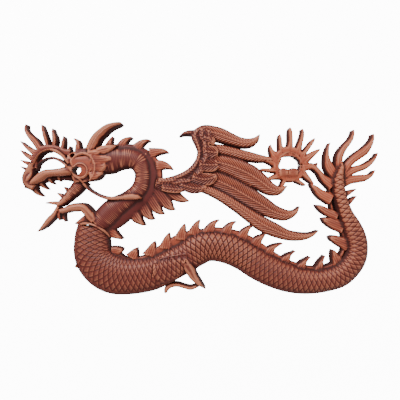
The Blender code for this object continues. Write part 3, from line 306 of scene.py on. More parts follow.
BACK_SPIKES = [
    [(107, 229, 8), (115, 233.8, 5), (120, 236.8, 2.8), (123.6, 239.2, 1)],
    [(112, 251.5, 6), (119.5, 250, 4), (124.6, 248.2, 1.1)],
    [(132, 258, 7), (135, 252.4, 4.4), (138, 247, 1.1)],
    [(150, 256, 8.4), (152, 249.4, 5), (153.8, 244.4, 2.8), (154.8, 241, 1.2)],
    [(166, 249, 8), (167, 241.4, 4.8), (168.2, 236.2, 2.6), (169.2, 232.8, 1.2)],
    [(181, 240, 8), (182.2, 232.4, 4.6), (183.6, 227.4, 2.6), (184.6, 224.4, 1.3)],
    [(194, 235, 7.4), (195.6, 227.6, 4.2), (197.5, 223.2, 2.4), (199.8, 220.2, 1.1)],
    [(208, 234, 7.4), (211.2, 226.6, 4.6), (214.4, 222.4, 2.4), (219, 219.8, 0.9)],
    [(225, 235, 7.4), (228.2, 227.6, 4.6), (231.8, 223.4, 2.4), (236, 221.3, 0.9)],
    [(241, 238, 7.4), (244.8, 231.4, 4.6), (248.4, 227.4, 2.6), (254, 224, 1.2)],
    [(254, 245, 7.6), (258.2, 238.8, 4.8), (262, 235.6, 2.8), (266, 231.4, 1.2)],
    [(267, 254, 7.6), (271.6, 247.4, 4.2), (277, 244.5, 2.4), (282.6, 243.1, 0.9)],
    [(283, 262, 7.4), (287.2, 255.6, 4.2), (291, 252.7, 2.2), (295.2, 250.9, 0.9)],
    [(299, 268, 7), (303, 261.6, 4.2), (306.4, 258.5, 2.6), (310.2, 256.8, 0.9)],
    [(317, 270, 6.6), (319.6, 262, 4.2), (321.8, 258.4, 2.6), (324.6, 255.6, 1.1)],
    [(337, 264, 7.4), (334, 256.4, 5), (332.4, 251.8, 3), (331, 249, 1.4)],
    [(348, 245, 6.8), (338.6, 241, 5), (332, 238.4, 3), (327, 236.2, 1.2)],
    [(343, 228, 6.4), (333.6, 224, 6), (326, 220.8, 3.8), (319.8, 218, 1.2)],
    [(337, 217, 4.6), (326, 212, 4.4), (319.5, 208, 3.4), (313.8, 204.2, 1.2)],
    [(342, 195, 4.6), (349.5, 191.5, 2.8), (356.2, 188.6, 0.8)],
    [(343, 205, 5), (350, 200, 3.2), (356.2, 195.8, 0.9)],
]
TAIL_FLAMES = [
    [(335, 178, 6.6), (328, 168, 6.4), (325.4, 158.4, 4.5), (326, 151, 3.2), (327.6, 146, 2),
     (329.8, 142.4, 0.8)],
    [(338, 173, 6), (337.4, 159.5, 5.4), (340, 152, 4.8), (344, 146.3, 4), (350, 138.8, 3.3),
     (352.2, 132.8, 2.5), (353.2, 129.6, 1.1)],
    [(341, 174, 5.6), (346, 165.5, 5.2), (351, 160, 4.8), (357.5, 155, 4.9), (364.3, 149.8, 5.1),
     (369.5, 142.5, 4), (372.1, 136.8, 2.5), (372.8, 133.8, 1.1)],
    [(340, 179, 5.6), (348, 172.4, 4.6), (355.5, 169, 4), (364.5, 165.8, 3.6), (371.3, 160.3, 3.2),
     (375.4, 155.6, 1.9), (377.3, 152.6, 0.9)],
    [(339, 184, 6), (349, 179.8, 4.8), (357, 178.8, 4.1), (364, 177.6, 3.8), (370.3, 174.6, 2.7),
     (374.8, 170, 0.9)],
]
RING = ((288.8, 164.5), 14.2, 4.2)  # centre, radius and half width
RING_RIM = ((288.8, 164.5), 11.6, 1.4)
KNUCKLES = [[(279, 173, 3.6), (283.4, 172.8, 4.7), (287.6, 173, 3.6)],
            [(288.6, 173, 3.6), (292.8, 172.8, 4.9), (297.4, 173, 3.8)]]
RAYS = [
    [(279, 161, 7), (274, 156.5, 5.6), (270.6, 151.5, 3.5), (269.7, 147.6, 2.4), (270, 144.6, 1.1)],
    [(283, 157, 6.4), (280.3, 150.5, 4.2), (279.2, 144, 3.1), (279, 138, 2.8), (278.8, 134.8, 1.8)],
    [(289, 156, 7), (288.6, 149, 4.8), (289.4, 142, 3.6), (289.2, 134, 3.4), (289, 130, 3),
     (288.9, 127.8, 1.8)],
    [(295, 157, 6.6), (297.2, 150.5, 4.8), (299.2, 143, 3.5), (301.2, 136, 3), (301.6, 131.5, 2.6),
     (301.3, 129.2, 1.6)],
    [(299, 160, 6.4), (303.5, 152.6, 3.4), (308, 146.4, 2.8), (311.6, 141.5, 2.5), (314, 138.2, 1.5)],
    [(301, 163, 6.4), (307.5, 157.4, 4.3), (313, 153.5, 3), (317, 150.8, 2.1), (319.6, 149.2, 1)],
    [(279, 165, 6.4), (272, 162, 5), (265, 160.4, 3), (258, 159.4, 2)],
    [(278, 169.5, 5), (270, 170.6, 2.4), (260, 169.9, 1.7)],
    [(281, 175, 5), (274, 177.2, 2.6), (266, 179.7, 1.8)],
    [(284, 175, 5), (283.6, 180, 3.4), (280, 187, 2.6)],
    [(285, 174, 4.4), (292, 178.7, 3.2), (299, 182.7, 2.9), (304.4, 185.8, 1.9)],
    [(299, 170, 5.4), (304, 176, 4.4), (308.6, 180.6, 3.4), (312.6, 184.4, 1.8)],
    [(310, 184.4, 1.6), (315, 189.6, 4.3), (321, 195, 5.6), (331, 200, 7)],
    [(304, 167.6, 4.6), (312, 167.4, 4.2), (318, 173, 4), (323, 179.5, 5), (332, 186, 7)],
    [(312.4, 168.5, 3.4), (315.6, 165, 2), (317.2, 162.3, 0.6)],
]
EYE_HOLE = ((76.6, 170.4), 4.7, 4.1)  # centre and half axes


class Pattern(Enum):
    """What is cut into a member's surface."""

    PLAIN = 0
    SCALES = 1
    STRIAE = 2
    BARBS = 3
    FLUTES = 4


@dataclass(frozen=True)
class Lattice:
    """Where a pattern's surface points lie, so that its grooves run from point to point.

    Args:
        along: spacing of points along the member.
        across: spacing of rows across it.
        slant: how far a row lies back, as a share of its distance from the spine.
        staggered: whether every other row is half a spacing on.
        tied: whether each point is tied to the one beside it in the next row.
    """

    along: float
    across: float
    slant: float = 0.0
    staggered: bool = True
    tied: bool = False

    def points(self, length: float, width: float) -> tuple[np.ndarray, np.ndarray]:
        """Lays the lattice over a member.

        Args:
            length: the member's length.
            width: its greatest half width.

        Returns:
            Distances along and across it, one of each for every point.
        """
        rows = np.arange(-int(width / self.across), int(width / self.across) + 1)
        reach = self.slant * width
        columns = np.arange(int((length + reach) / self.along) + 1)
        column, row = np.meshgrid(columns, rows)
        across = row * self.across
        along = (column + 0.5 * self.staggered * (row % 2)) * self.along - self.slant * np.abs(across)
        return along.ravel(), across.ravel()


LATTICES = {
    Pattern.PLAIN: Lattice(PLAIN_STEP * COARSE, PLAIN_STEP * COARSE * ROW_SHARE),
    Pattern.SCALES: Lattice(SCALE_PITCH / 6 * COARSE, SCALE_WIDTH / 12 * COARSE),
    Pattern.STRIAE: Lattice(STRIA_PITCH / 2, 0.0020 * COARSE, staggered=False),
    Pattern.BARBS: Lattice(BARB_PITCH / 2, 0.0016 * COARSE, BARB_SLANT, False, True),
    Pattern.FLUTES: Lattice(0.0026 * COARSE, FLUTE_PITCH / 2),
}


@dataclass(frozen=True)
class Carving:
    """How one kind of member is carved.

    Args:
        heights: edge and crown height, as shares of DEPTH.
        pattern: what is cut into it.
        tint: 0 for the body's wood, 1 for the orange wood of spikes and flames, below 0 for darker wood that
            is rubbed less. The fold strips' -1 is a painted shadow line.
        rim: how much its edge is rubbed light. 1 is strong.
        power: how flat the crown is. 2 is round.
        walled: whether its drawn width takes in the sawn wall beside it.
    """

    heights: tuple[float, float]
    pattern: Pattern
    tint: float
    rim: float = 0.2
    power: float = ROUNDNESS
    walled: bool = True


class Member:
    """One carved member: a strip along a spine, with a place along and across it for every point.

    Args:
        spine: points of (x, y, half width, raise), as drawn.
        carving: how it is carved.
        closed: whether the spine runs round a ring.
    """

    def __init__(self, spine: Sequence[Sequence[float]], carving: Carving, closed: bool = False) -> None:
        self.carving = carving
        self.closed = closed
        self.edge, self.crown = (DEPTH * share for share in carving.heights)
        if carving.walled:
            spine = front_only(spine, self.edge / VIEW_DISTANCE)
        path = smooth_path(spine, OUTLINE_STEP / UNIT)
        self.centres = path[:, :2]
        if closed:
            run = np.roll(self.centres[:-1], -1, axis=0) - np.roll(self.centres[:-1], 1, axis=0)
            run = np.vstack((run, run[:1]))
        else:
            run = np.gradient(self.centres, axis=0)
        run /= np.linalg.norm(run, axis=1)[:, None]
        self.normal = np.stack((-run[:, 1], run[:, 0]), axis=1)
        self.half = path[:, 2]
        self.raised = path[:, 3] * DEPTH
        gaps = np.linalg.norm(np.diff(self.centres, axis=0), axis=1)
        self.along = np.concatenate(([0.0], np.cumsum(gaps))) * UNIT
        self._make_patches()

    def _make_patches(self) -> None:
        """Triangles over the strip that carry (along, across) to any place on it."""
        lines = [np.column_stack((self.line(t), self.along, np.full(len(self.along), t))) for t in (-1, 0, 1)]
        corners = []
        for one, two in zip(lines, lines[1:]):
            corners.append(np.stack((one[:-1], one[1:], two[1:]), axis=1))
            corners.append(np.stack((one[:-1], two[1:], two[:-1]), axis=1))
        corners = np.concatenate(corners)
        area = cross(corners[:, 1, :2] - corners[:, 0, :2], corners[:, 2, :2] - corners[:, 0, :2])
        corners = corners[np.abs(area) > 1e-12]
        flip = area[np.abs(area) > 1e-12] < 0
        corners[flip] = corners[flip][:, ::-1]
        self.corners = corners[np.argsort(corners[:, 0, 2])]

    def line(self, t: float) -> np.ndarray:
        """The line in plan that runs t half widths to one side of the spine."""
        drawn = self.centres + self.normal * (self.half * t)[:, None]
        return plan(drawn, self.edge + self.raised)

    def outlines(self) -> list[np.ndarray]:
        """The strip's outline in plan, as closed loops."""
        left, right = self.line(-1.0), self.line(1.0)
        if self.closed:
            return [left[:-1], right[:-1]]
        caps = []
        for one, two in ((left[-1], right[-1]), (right[0], left[0])):
            count = 1 + int(math.dist(one, two) / OUTLINE_STEP)
            caps.append(np.linspace(one, two, count + 1)[1:-1])
        return [np.vstack((left, caps[0], right[::-1], caps[1]))]

    def samples(self) -> tuple[np.ndarray, np.ndarray]:
        """Places over the strip, on the lattice that suits its pattern, and the pairs that are tied."""
        lattice = LATTICES[self.carving.pattern]
        along, across = lattice.points(self.along[-1], self.half.max() * UNIT)
        numbers = np.arange(len(along))
        column_count = int((across == across[0]).sum())
        pairs = np.column_stack((numbers[:-column_count], numbers[column_count:]))
        width = self.half_width(along)
        inner = (along > 0) & (along < self.along[-1]) & (np.abs(across) < width - EDGE_MARGIN)
        index = np.cumsum(inner) - 1
        pairs = index[pairs[inner[pairs].all(axis=1)]] if lattice.tied else np.zeros((0, 2), int)
        along, across = along[inner], across[inner]
        centre = np.column_stack([np.interp(along, self.along, self.centres[:, k]) for k in (0, 1)])
        normal = np.column_stack([np.interp(along, self.along, self.normal[:, k]) for k in (0, 1)])
        return plan(centre + normal * (across / UNIT)[:, None], self.edge + self.raise_at(along)), pairs

    def raise_at(self, along: np.ndarray) -> np.ndarray:
        """How far the member is lifted, at distances along it."""
        return np.interp(along, self.along, self.raised)

    def locate(self, places: np.ndarray, touch: float = TOUCH) -> tuple[np.ndarray, np.ndarray, np.ndarray]:
        """Finds the places that are on the member.

        Where a tight bend folds the strip over itself, the part nearer the spine counts.

        Args:
            places: (x, z) in metres.
            touch: how far outside a place may be and still count.

        Returns:
            Numbers of the places that are on it, their distances along it and shares across it.
        """
        hits, along, across = [], [], []
        for first in range(0, len(self.corners), BLOCK):
            block = self.corners[first:first + BLOCK]
            low = block[:, :, :2].min(axis=(0, 1)) - touch
            high = block[:, :, :2].max(axis=(0, 1)) + touch
            near = np.nonzero(((places > low) & (places < high)).all(axis=1))[0]
            if not len(near):
                continue
            here = places[near, None]
            inside = np.ones((len(near), len(block)), bool)
            shares = []
            area = cross(block[:, 1, :2] - block[:, 0, :2], block[:, 2, :2] - block[:, 0, :2])
            for k in range(3):
                start = block[:, (k + 1) % 3, :2]
                edge = block[:, (k + 2) % 3, :2] - start
                side = edge[:, 0] * (here[..., 1] - start[:, 1]) - edge[:, 1] * (here[..., 0] - start[:, 0])
                inside &= side > -touch * np.linalg.norm(edge, axis=1)
                shares.append(side / area)
            rows, columns = np.nonzero(inside)
            weight = np.stack([np.clip(share[rows, columns], 0, 1) for share in shares], axis=1)
            weight /= weight.sum(axis=1, keepdims=True)
            values = (weight[:, :, None] * block[columns][:, :, 2:4]).sum(axis=1)
            hits.append(near[rows])
            along.append(values[:, 0])
            across.append(values[:, 1])
        if not hits:
            return np.zeros(0, int), np.zeros(0), np.zeros(0)
        hits, along, across = (np.concatenate(part) for part in (hits, along, across))
        order = np.lexsort((np.abs(across), hits))
        hits, first = np.unique(hits[order], return_index=True)
        return hits, along[order][first], across[order][first]

    def half_width(self, along: np.ndarray) -> np.ndarray:
        """Half the strip's width in metres, at distances along it."""
        return np.interp(along, self.along, self.half) * UNIT

    def lift(self, along: np.ndarray, across: np.ndarray) -> np.ndarray:
        """The uncut height above the back, at distances along and shares across."""
        rise = (self.crown - self.edge) * np.minimum(1.0, self.half_width(along) / (SLIM * UNIT))
        return self.edge + self.raise_at(along) + rise * (1.0 - np.abs(across) ** self.carving.power)


def cross(a: np.ndarray, b: np.ndarray) -> np.ndarray:
    """The z part of the cross product of plane vectors."""
    return a[..., 0] * b[..., 1] - a[..., 1] * b[..., 0]


def plan(drawn: np.ndarray, lift: float | np.ndarray) -> np.ndarray:
    """Puts drawn points in their real place.

    Args:
        drawn: points of (x, y) in grid units.
        lift: how far off the back their surface is, in metres.

    Returns:
        Points of (x, z) in metres from the hanging place.
    """
    scale = UNIT * (1.0 - np.asarray(lift) / VIEW_DISTANCE)
    eye, hang = np.array(GRID_EYE), np.array(GRID_HANG)
    return ((np.asarray(drawn) - eye) * scale[..., None] + (eye - hang) * UNIT) * (1.0, -1.0)


def smooth_path(points: Sequence[Sequence[float]], spacing: float) -> np.ndarray:
    """Draws a Catmull-Rom curve through a spine's points and rounds its tip.

    Args:
        points: the spine's points.
        spacing: about how far apart the stations are, in units.

    Returns:
        Stations of (x, y, half width, raise).
    """
    rows = np.zeros((len(points), 4))
    for row, point in zip(rows, points):
        row[:len(point)] = point
    ends = np.vstack((2 * rows[0] - rows[1], rows, 2 * rows[-1] - rows[-2]))
    path = [rows[0]]
    for i in range(len(rows) - 1):
        p0, p1, p2, p3 = ends[i:i + 4]
        steps = max(2, round(math.dist(p1[:2], p2[:2]) / spacing))
        for k in range(1, steps + 1):
            t = k / steps
            path.append(0.5 * (2 * p1 + (p2 - p0) * t + (2 * p0 - 5 * p1 + 4 * p2 - p3) * t ** 2
                               + (3 * p1 - p0 - 3 * p2 + p3) * t ** 3))
    path = np.array(path)
    path[:, 2] = np.maximum(path[:, 2], 0.0)
    if BLUNT[0] < path[-1, 2] < BLUNT[1]:
        run = path[-1, :2] - path[-2, :2]
        run /= np.linalg.norm(run)
        tip = np.repeat(path[-1:], 3, axis=0)
        turns = np.radians((30, 58, 84))
        tip[:, :2] += run * (np.sin(turns) * path[-1, 2] * TIP_ROUND)[:, None]
        tip[:, 2] *= np.cos(turns)
        path = np.vstack((path, tip))
    return path


def front_only(points: Sequence[Sequence[float]], lean: float) -> np.ndarray:
    """The points of a spine without the sawn wall that shows beside the front, where it is seen aslant.

    Args:
        points: the spine as it is seen.
        lean: how far the back seems to slip towards the eye, as a share of its distance from the eye's axis.

    Returns:
        The spine of the front alone.
    """
    rows = np.array(points, float)
    run = np.gradient(rows[:, :2], axis=0)
    run /= np.linalg.norm(run, axis=1)[:, None]
    normal = np.stack((-run[:, 1], run[:, 0]), axis=1)
    slip = (rows[:, :2] - GRID_EYE) * lean
    aside = (slip * normal).sum(axis=1)
    half = np.maximum(rows[:, 2] - np.abs(aside) / 2, rows[:, 2] * NARROWEST)
    rows[:, :2] += normal * (np.sign(aside) * (rows[:, 2] - half))[:, None]
    rows[:, 2] = half
    rows[-1, :2] -= run[-1] * max(0.0, -slip[-1] @ run[-1])
    return rows


CARVINGS = {
    "body": Carving(BODY, Pattern.SCALES, 0.2, 0.1, 2.6),
    "neck_side": Carving(NECK_SIDE, Pattern.PLAIN, -0.35, 0.0, 4.0),
    "neck": Carving(NECK_RIDGE, Pattern.STRIAE, -0.1, 0.0, 2.4, walled=False),
    "band": Carving(BAND, Pattern.PLAIN, 0.8, 0.1, 4.0),
    "thigh": Carving(THIGH, Pattern.SCALES, 0.12, 0.1, 3.0, walled=False),
    "shank": Carving(THIGH, Pattern.PLAIN, 0.2, 0.3, 4.0),
    "foot": Carving(FIN, Pattern.PLAIN, 0.65, 0.2, 3.0),
    "horn": Carving(HORN, Pattern.FLUTES, 0.2, 0.3, 2.4),
    "face": Carving(FACE, Pattern.PLAIN, 0.1, walled=False),
    "brow": Carving(LIP, Pattern.PLAIN, 0.4, 0.3, 3.0),
    "snout": Carving(LIP, Pattern.PLAIN, 0.25, 0.1, 3.0, walled=False),
    "nostril": Carving(LIP, Pattern.PLAIN, 0.4, 0.2, 3.0, walled=False),
    "lobe": Carving(LOBE, Pattern.PLAIN, 0.8, 0.0, 4.0, walled=False),
    "ridge": Carving(RIM, Pattern.PLAIN, 0.3, 0.1, 3.0, walled=False),
    # Painted shadow: the fold strips' tint of -1 makes the collar line and the line over the thigh dark, as
    # the shadow of the parts that lie over the body.
    "fold": Carving(SEAM, Pattern.PLAIN, -1.0, 0.0, walled=False),
    "jaw": Carving(JAW, Pattern.STRIAE, -0.2, 0.0),
    "chin": Carving(JAW, Pattern.FLUTES, 0.4, 0.2, 3.0),
    "roof": Carving(ROOF, Pattern.PLAIN, -0.3, 0.0, walled=False),
    "tooth": Carving(TOOTH, Pattern.PLAIN, 0.5, walled=False),
    "strand": Carving(STRAND, Pattern.PLAIN, 0.0, 0.0),
    "leg": Carving(LEG, Pattern.PLAIN, 0.25, 0.1, 3.0),
    "ruff": Carving(OVERLAY, Pattern.FLUTES, 0.6, 0.5, 4.0, walled=False),
    "arm": Carving(ARM, Pattern.BARBS, -0.9, 0.2, 3.0),
    "edge": Carving(ARM_EDGE, Pattern.BARBS, -0.4, 0.8, 3.0, walled=False),
    "leaf": Carving(LEAF, Pattern.BARBS, -0.4, 1.4, 4.0, walled=False),
    "feather": Carving(FEATHER, Pattern.BARBS, 0.45, 0.45, 3.0),
    "feather_under": Carving(FEATHER_UNDER, Pattern.BARBS, 0.4, 0.45, 3.0),
    "covert": Carving(COVERT, Pattern.BARBS, -0.2, 1.3, 4.0, walled=False),
    "fin": Carving(FIN, Pattern.FLUTES, 0.25, 0.4, 3.0),
    "spike": Carving(SPIKE, Pattern.FLUTES, 0.7, 0.3, 4.0),
    "root": Carving(SPIKE, Pattern.PLAIN, 0.45, 0.2, 4.0, walled=False),
    "flame": Carving(FLAME, Pattern.FLUTES, 1.3, 0.3, 3.0),
    "knuckle": Carving(FLAME_RIM, Pattern.PLAIN, 0.7, 0.2, walled=False),
    "ring": Carving(FLAME, Pattern.PLAIN, 1.2, 0.1, 4.0),
    "ring_rim": Carving(FLAME_RIM, Pattern.PLAIN, 0.6, 0.4),
}


def ring_spine(centre: tuple[float, float], radius: float, half: float) -> list[tuple[float, float, float]]:
    """A closed spine round a ring."""
    turns = [2 * math.pi * k / RING_COUNT for k in range(RING_COUNT + 1)]
    return [(centre[0] + radius * math.cos(a), centre[1] + radius * math.sin(a), half) for a in turns]


def all_members() -> list[Member]:
    """Every carved member of the panel."""
    groups = (([BODY_SPINE], "body"), ([NECK], "neck_side"), ([NECK_CORE], "neck"), ([WING_ARM], "arm"),
              ([NECK_BAND, BACK_RIDGE], "band"), ([THIGH_SPINE], "thigh"), ([SHANK], "shank"),
              ([HIND_FOOT], "foot"), ([THIGH_FOLD, COLLAR], "fold"), ([EYE_RIM], "ridge"),
              ([HORN_SPINE], "horn"), ([NOSE, CHEEK, CHEEK_LOW], "face"), ([BROW], "brow"),
              ([SNOUT], "snout"), ([NOSTRIL], "nostril"), ([EYE_LOBE], "lobe"), ([LOWER_JAW], "jaw"),
              (CHIN, "chin"), ([MOUTH_ROOF], "roof"), (TEETH, "tooth"), ([WHISKER], "strand"),
              ([FORELEG], "leg"), (RUFF, "ruff"), (WING_LEAVES, "leaf"), ([WING_EDGE], "edge"),
              (FEATHERS[::2], "feather"), (FEATHERS[1::2], "feather_under"), (COVERTS, "covert"),
              (FINS, "fin"), (CREST, "spike"), ([CREST_ROOT], "root"), (CLAWS, "spike"),
              (NECK_SPIKES, "spike"), (BACK_SPIKES, "spike"), (TAIL_FLAMES, "flame"), (RAYS, "flame"),
              (KNUCKLES, "knuckle"))
    members = [Member(spine, CARVINGS[kind]) for spines, kind in groups for spine in spines]
    for circle, kind in ((RING, "ring"), (RING_RIM, "ring_rim"), (EYE_RING, "ridge")):
        members.append(Member(ring_spine(*circle), CARVINGS[kind], closed=True))
    return members


@dataclass
class Surface:
    """What is known at a set of plan places.

    Args:
        lift: height above the back, or -1 where there is no wood.
        member: number of the member on top.
        along: distance along that member.
        across: share across it.
    """

    lift: np.ndarray
    member: np.ndarray
    along: np.ndarray
    across: np.ndarray


class Relief:
    """The panel's carved front: flat triangles over its members, and the height at each corner.

    Args:
        members: what it is carved into.
    """

    def __init__(self, members: list[Member]) -> None:
        self.members = members
        self.cuts = [hole_outline(*EYE_HOLE, LOBE[0] * DEPTH)]
        self.pits = [hole_outline(*PIT, FACE[1] * DEPTH), hole_outline(PIT[0], *PIT_FLOOR, FACE[1] * DEPTH)]
        self.places, self.triangles = self._triangulate()
        self.surface = self.look(self.places)
        self.surface.lift[inside_polygon(self.places, self.pits[1])] -= PIT_DEPTH
        self.keep = self._kept()

    def look(self, places: np.ndarray, touch: float = TOUCH, skip: int = -1) -> Surface:
        """Finds the top member at every place.

        Args:
            places: (x, z) in metres.
            touch: how far outside a member a place may be and still count.
            skip: number of a member that is left out.

        Returns:
            The surface there.
        """
        top = Surface(np.full(len(places), -1.0), np.full(len(places), -1), np.zeros(len(places)),
                      np.zeros(len(places)))
        for n, member in enumerate(self.members):
            if n == skip:
                continue
            hits, along, across = member.locate(places, touch)
            lift = member.lift(along, across)
            better = lift > top.lift[hits]
            chosen = hits[better]
            top.lift[chosen] = lift[better]
            top.member[chosen] = n
            top.along[chosen] = along[better]
            top.across[chosen] = across[better]
        return top

    def _loops(self) -> Iterator[tuple[np.ndarray, list[tuple[int, int]]]]:
        """Outlines and step feet that show, each as places and spans."""
        for n, member in enumerate(self.members):
            for loop in member.outlines():
                count = len(loop)
                lifts = np.full(count, member.edge)
                others = self.look(loop, TOUCH, skip=n).lift
                shown = others < lifts + HIDDEN_BY
                spans = [(i, (i + 1) % count) for i in range(count) if shown[i] or shown[(i + 1) % count]]
                yield loop, spans
                ahead = np.roll(loop, -1, axis=0) - np.roll(loop, 1, axis=0)
                size = np.maximum(np.linalg.norm(ahead, axis=1), 1e-9)[:, None]
                out = np.stack((ahead[:, 1], -ahead[:, 0]), axis=1) / size
                feet = loop + out * STEP_GAP
                own = np.zeros(count, bool)
                own[member.locate(feet, 0.0)[0]] = True
                feet[own] = loop[own] - out[own] * STEP_GAP
                own[:] = False
                own[member.locate(feet, 0.0)[0]] = True
                below = self.look(feet, 0.0, skip=n).lift
                on = (below > 0) & (below < lifts - LEAST_STEP) & ~own
                yield feet, [(i, (i + 1) % count) for i in range(count) if on[i] and on[(i + 1) % count]]

    def _triangulate(self) -> tuple[np.ndarray, np.ndarray]:
        """One flat triangulation that keeps every outline and is fine over every member."""
        points: list[np.ndarray] = []
        edges: list[tuple[int, int]] = []
        for loop, spans in self._loops():
            used = sorted({i for span in spans for i in span})
            index = {i: len(points) + k for k, i in enumerate(used)}
            points.extend(loop[i] for i in used)
            edges.extend((index[a], index[b]) for a, b in spans)
        for cut in self.cuts + self.pits:
            first = len(points)
            points.extend(cut)
            edges.extend((first + i, first + (i + 1) % len(cut)) for i in range(len(cut)))
        lines = np.array(points)
        for n, member in enumerate(self.members):
            samples, pairs = member.samples()
            if not len(samples):
                continue
            on_top = self.look(samples).member == n
            index = np.cumsum(on_top) - 1 + len(points)
            edges.extend((int(a), int(b)) for a, b in index[pairs[on_top[pairs].all(axis=1)]])
            points.extend(samples[on_top])
        LOG.info("triangulating %d points, %d on lines", len(points), len(lines))
        return triangulate(points, edges, MERGE_MM)

    def _kept(self) -> np.ndarray:
        """Which triangles are wood, joined by more than a point."""
        corners = self.places[self.triangles]
        middles = corners.mean(axis=1)
        sizes = 0.5 * cross(corners[:, 1] - corners[:, 0], corners[:, 2] - corners[:, 0])
        keep = self.look(middles, 0.0).lift > 0
        for cut in self.cuts:
            keep &= ~inside_polygon(middles, cut)
        solid = (self.surface.lift > 0)[self.triangles].all(axis=1)
        for group in islands(self.triangles, np.nonzero(~keep)[0].tolist()):
            if sizes[group].sum() < SMALLEST_GAP and solid[group].all():
                keep[group] = True
        largest = max(islands(self.triangles, np.nonzero(keep)[0].tolist()), key=len)
        keep[:] = False
        keep[largest] = True
        for _ in range(20):
            starts, counts = np.unique([a for a, _ in boundary(self.triangles[keep])], return_counts=True)
            pinched = starts[counts > 1]
            if not len(pinched):
                break
            for vertex in pinched:
                around = np.nonzero((self.triangles == vertex).any(axis=1))[0]
                gaps = islands(self.triangles, [i for i in around if not keep[i]])
                gaps = [gap for gap in gaps if solid[gap].all()]
                if gaps:
                    keep[min(gaps, key=lambda gap: sizes[gap].sum())] = True
                else:
                    fans = islands(self.triangles, [i for i in around if keep[i]])
                    keep[min(fans, key=lambda fan: sizes[fan].sum())] = False
        return keep


def hole_outline(centre: tuple[float, float], half_x: float, half_y: float, lift: float) -> np.ndarray:
    """The outline in plan of an oval hole, drawn in grid units on a surface lift metres off the back."""
    turns = [2 * math.pi * k / HOLE_COUNT for k in range(HOLE_COUNT)]
    return plan([(centre[0] + half_x * math.cos(a), centre[1] + half_y * math.sin(a)) for a in turns], lift)


def triangulate(points: Sequence[np.ndarray], edges: list[tuple[int, int]],
                merge_mm: float) -> tuple[np.ndarray, np.ndarray]:
    """Fills the plane between points with triangles.

    Args:
        points: (x, z) in metres.
        edges: pairs of points that stay joined.
        merge_mm: points closer than this, in millimetres, become one.

    Returns:
        The points after merging, and three point numbers for each triangle.
    """
    made = delaunay_2d_cdt([Vector(p) * 1000.0 for p in points], edges, [], 0, merge_mm)
    places = np.array([(v.x, v.y) for v in made[0]]) / 1000.0
    return places, np.array([tuple(face) for face in made[2]])


def enclosed(places: np.ndarray, sides: Iterable[tuple[np.ndarray, np.ndarray]]) -> np.ndarray:
    """Which places the sides enclose, by counting the sides to their right.

    Args:
        places: (x, z) in metres.
        sides: the two ends of each side, in any order.

    Returns:
        True or False for each place.
    """
    inside = np.zeros(len(places), bool)
    for p, q in sides:
        crosses = (p[1] > places[:, 1]) != (q[1] > places[:, 1])
        rise = q[1] - p[1] if q[1] != p[1] else 1.0
        inside ^= crosses & (places[:, 0] < p[0] + (places[:, 1] - p[1]) / rise * (q[0] - p[0]))
    return inside


def inside_polygon(places: np.ndarray, polygon: np.ndarray) -> np.ndarray:
    """Which places lie inside the polygon."""
    return enclosed(places, zip(polygon, np.roll(polygon, -1, axis=0)))


def boundary(triangles: np.ndarray) -> list[tuple[int, int]]:
    """The directed edges that only one of the triangles has."""
    pairs = np.concatenate((triangles[:, [0, 1]], triangles[:, [1, 2]], triangles[:, [2, 0]]))
    size = int(pairs.max()) + 1
    keys = pairs[:, 0] * size + pairs[:, 1]
    alone = ~np.isin(pairs[:, 1] * size + pairs[:, 0], keys)
    return [(int(a), int(b)) for a, b in pairs[alone]]


def islands(triangles: np.ndarray, chosen: Sequence[int]) -> list[list[int]]:
    """Puts triangles that share edges in groups.

    Args:
        triangles: three point numbers for each triangle.
        chosen: which triangles count.

    Returns:
        The triangles' numbers, group by group.
    """
    owner: dict[tuple[int, int], list[int]] = {}
    faces = {i: [int(v) for v in triangles[i]] for i in chosen}
    for i, (a, b, c) in faces.items():
        for p, q in ((a, b), (b, c), (c, a)):
            owner.setdefault((min(p, q), max(p, q)), []).append(i)
    left, groups = set(chosen), []
    while left:
        stack, group = [left.pop()], []
        while stack:
            i = stack.pop()
            group.append(i)
            a, b, c = faces[i]
            for p, q in ((a, b), (b, c), (c, a)):
                for j in owner[(min(p, q), max(p, q))]:
                    if j in left:
                        left.remove(j)
                        stack.append(j)
        groups.append(group)
    return groups


class Field:
    """A number at every point of a node tree, with arithmetic that adds the nodes for it.

    Args:
        tree: the node tree.
        socket: the socket that gives the number.
    """

    def __init__(self, tree: bpy.types.NodeTree, socket: bpy.types.NodeSocket) -> None:
        self.tree = tree
        self.socket = socket

    def math(self, operation: str, *others: "Field | float") -> "Field":
        """This number combined with others by a Math node."""
        node = self.tree.nodes.new("ShaderNodeMath")
        node.operation = operation
        for i, value in enumerate((self, *others)):
            if isinstance(value, Field):
                self.tree.links.new(value.socket, node.inputs[i])
            else:
                node.inputs[i].default_value = value
        return Field(self.tree, node.outputs[0])

    def __add__(self, other: "Field | float") -> "Field":
        """Adds a number or another field."""
        return self.math("ADD", other)

    def __sub__(self, other: "Field | float") -> "Field":
        """Subtracts a number or another field."""
        return self.math("SUBTRACT", other)

    def __mul__(self, other: "Field | float") -> "Field":
        """Multiplies by a number or another field."""
        return self.math("MULTIPLY", other)

    def __truediv__(self, other: "Field | float") -> "Field":
        """Divides by a number or another field."""
        return self.math("DIVIDE", other)

    def smooth(self, low: float, high: float) -> "Field":
        """0 below low, 1 above high and a smooth step between."""
        node = self.tree.nodes.new("ShaderNodeMapRange")
        node.interpolation_type = "SMOOTHSTEP"
        node.inputs["From Min"].default_value = low
        node.inputs["From Max"].default_value = high
        self.tree.links.new(self.socket, node.inputs["Value"])
        return Field(self.tree, node.outputs["Result"])


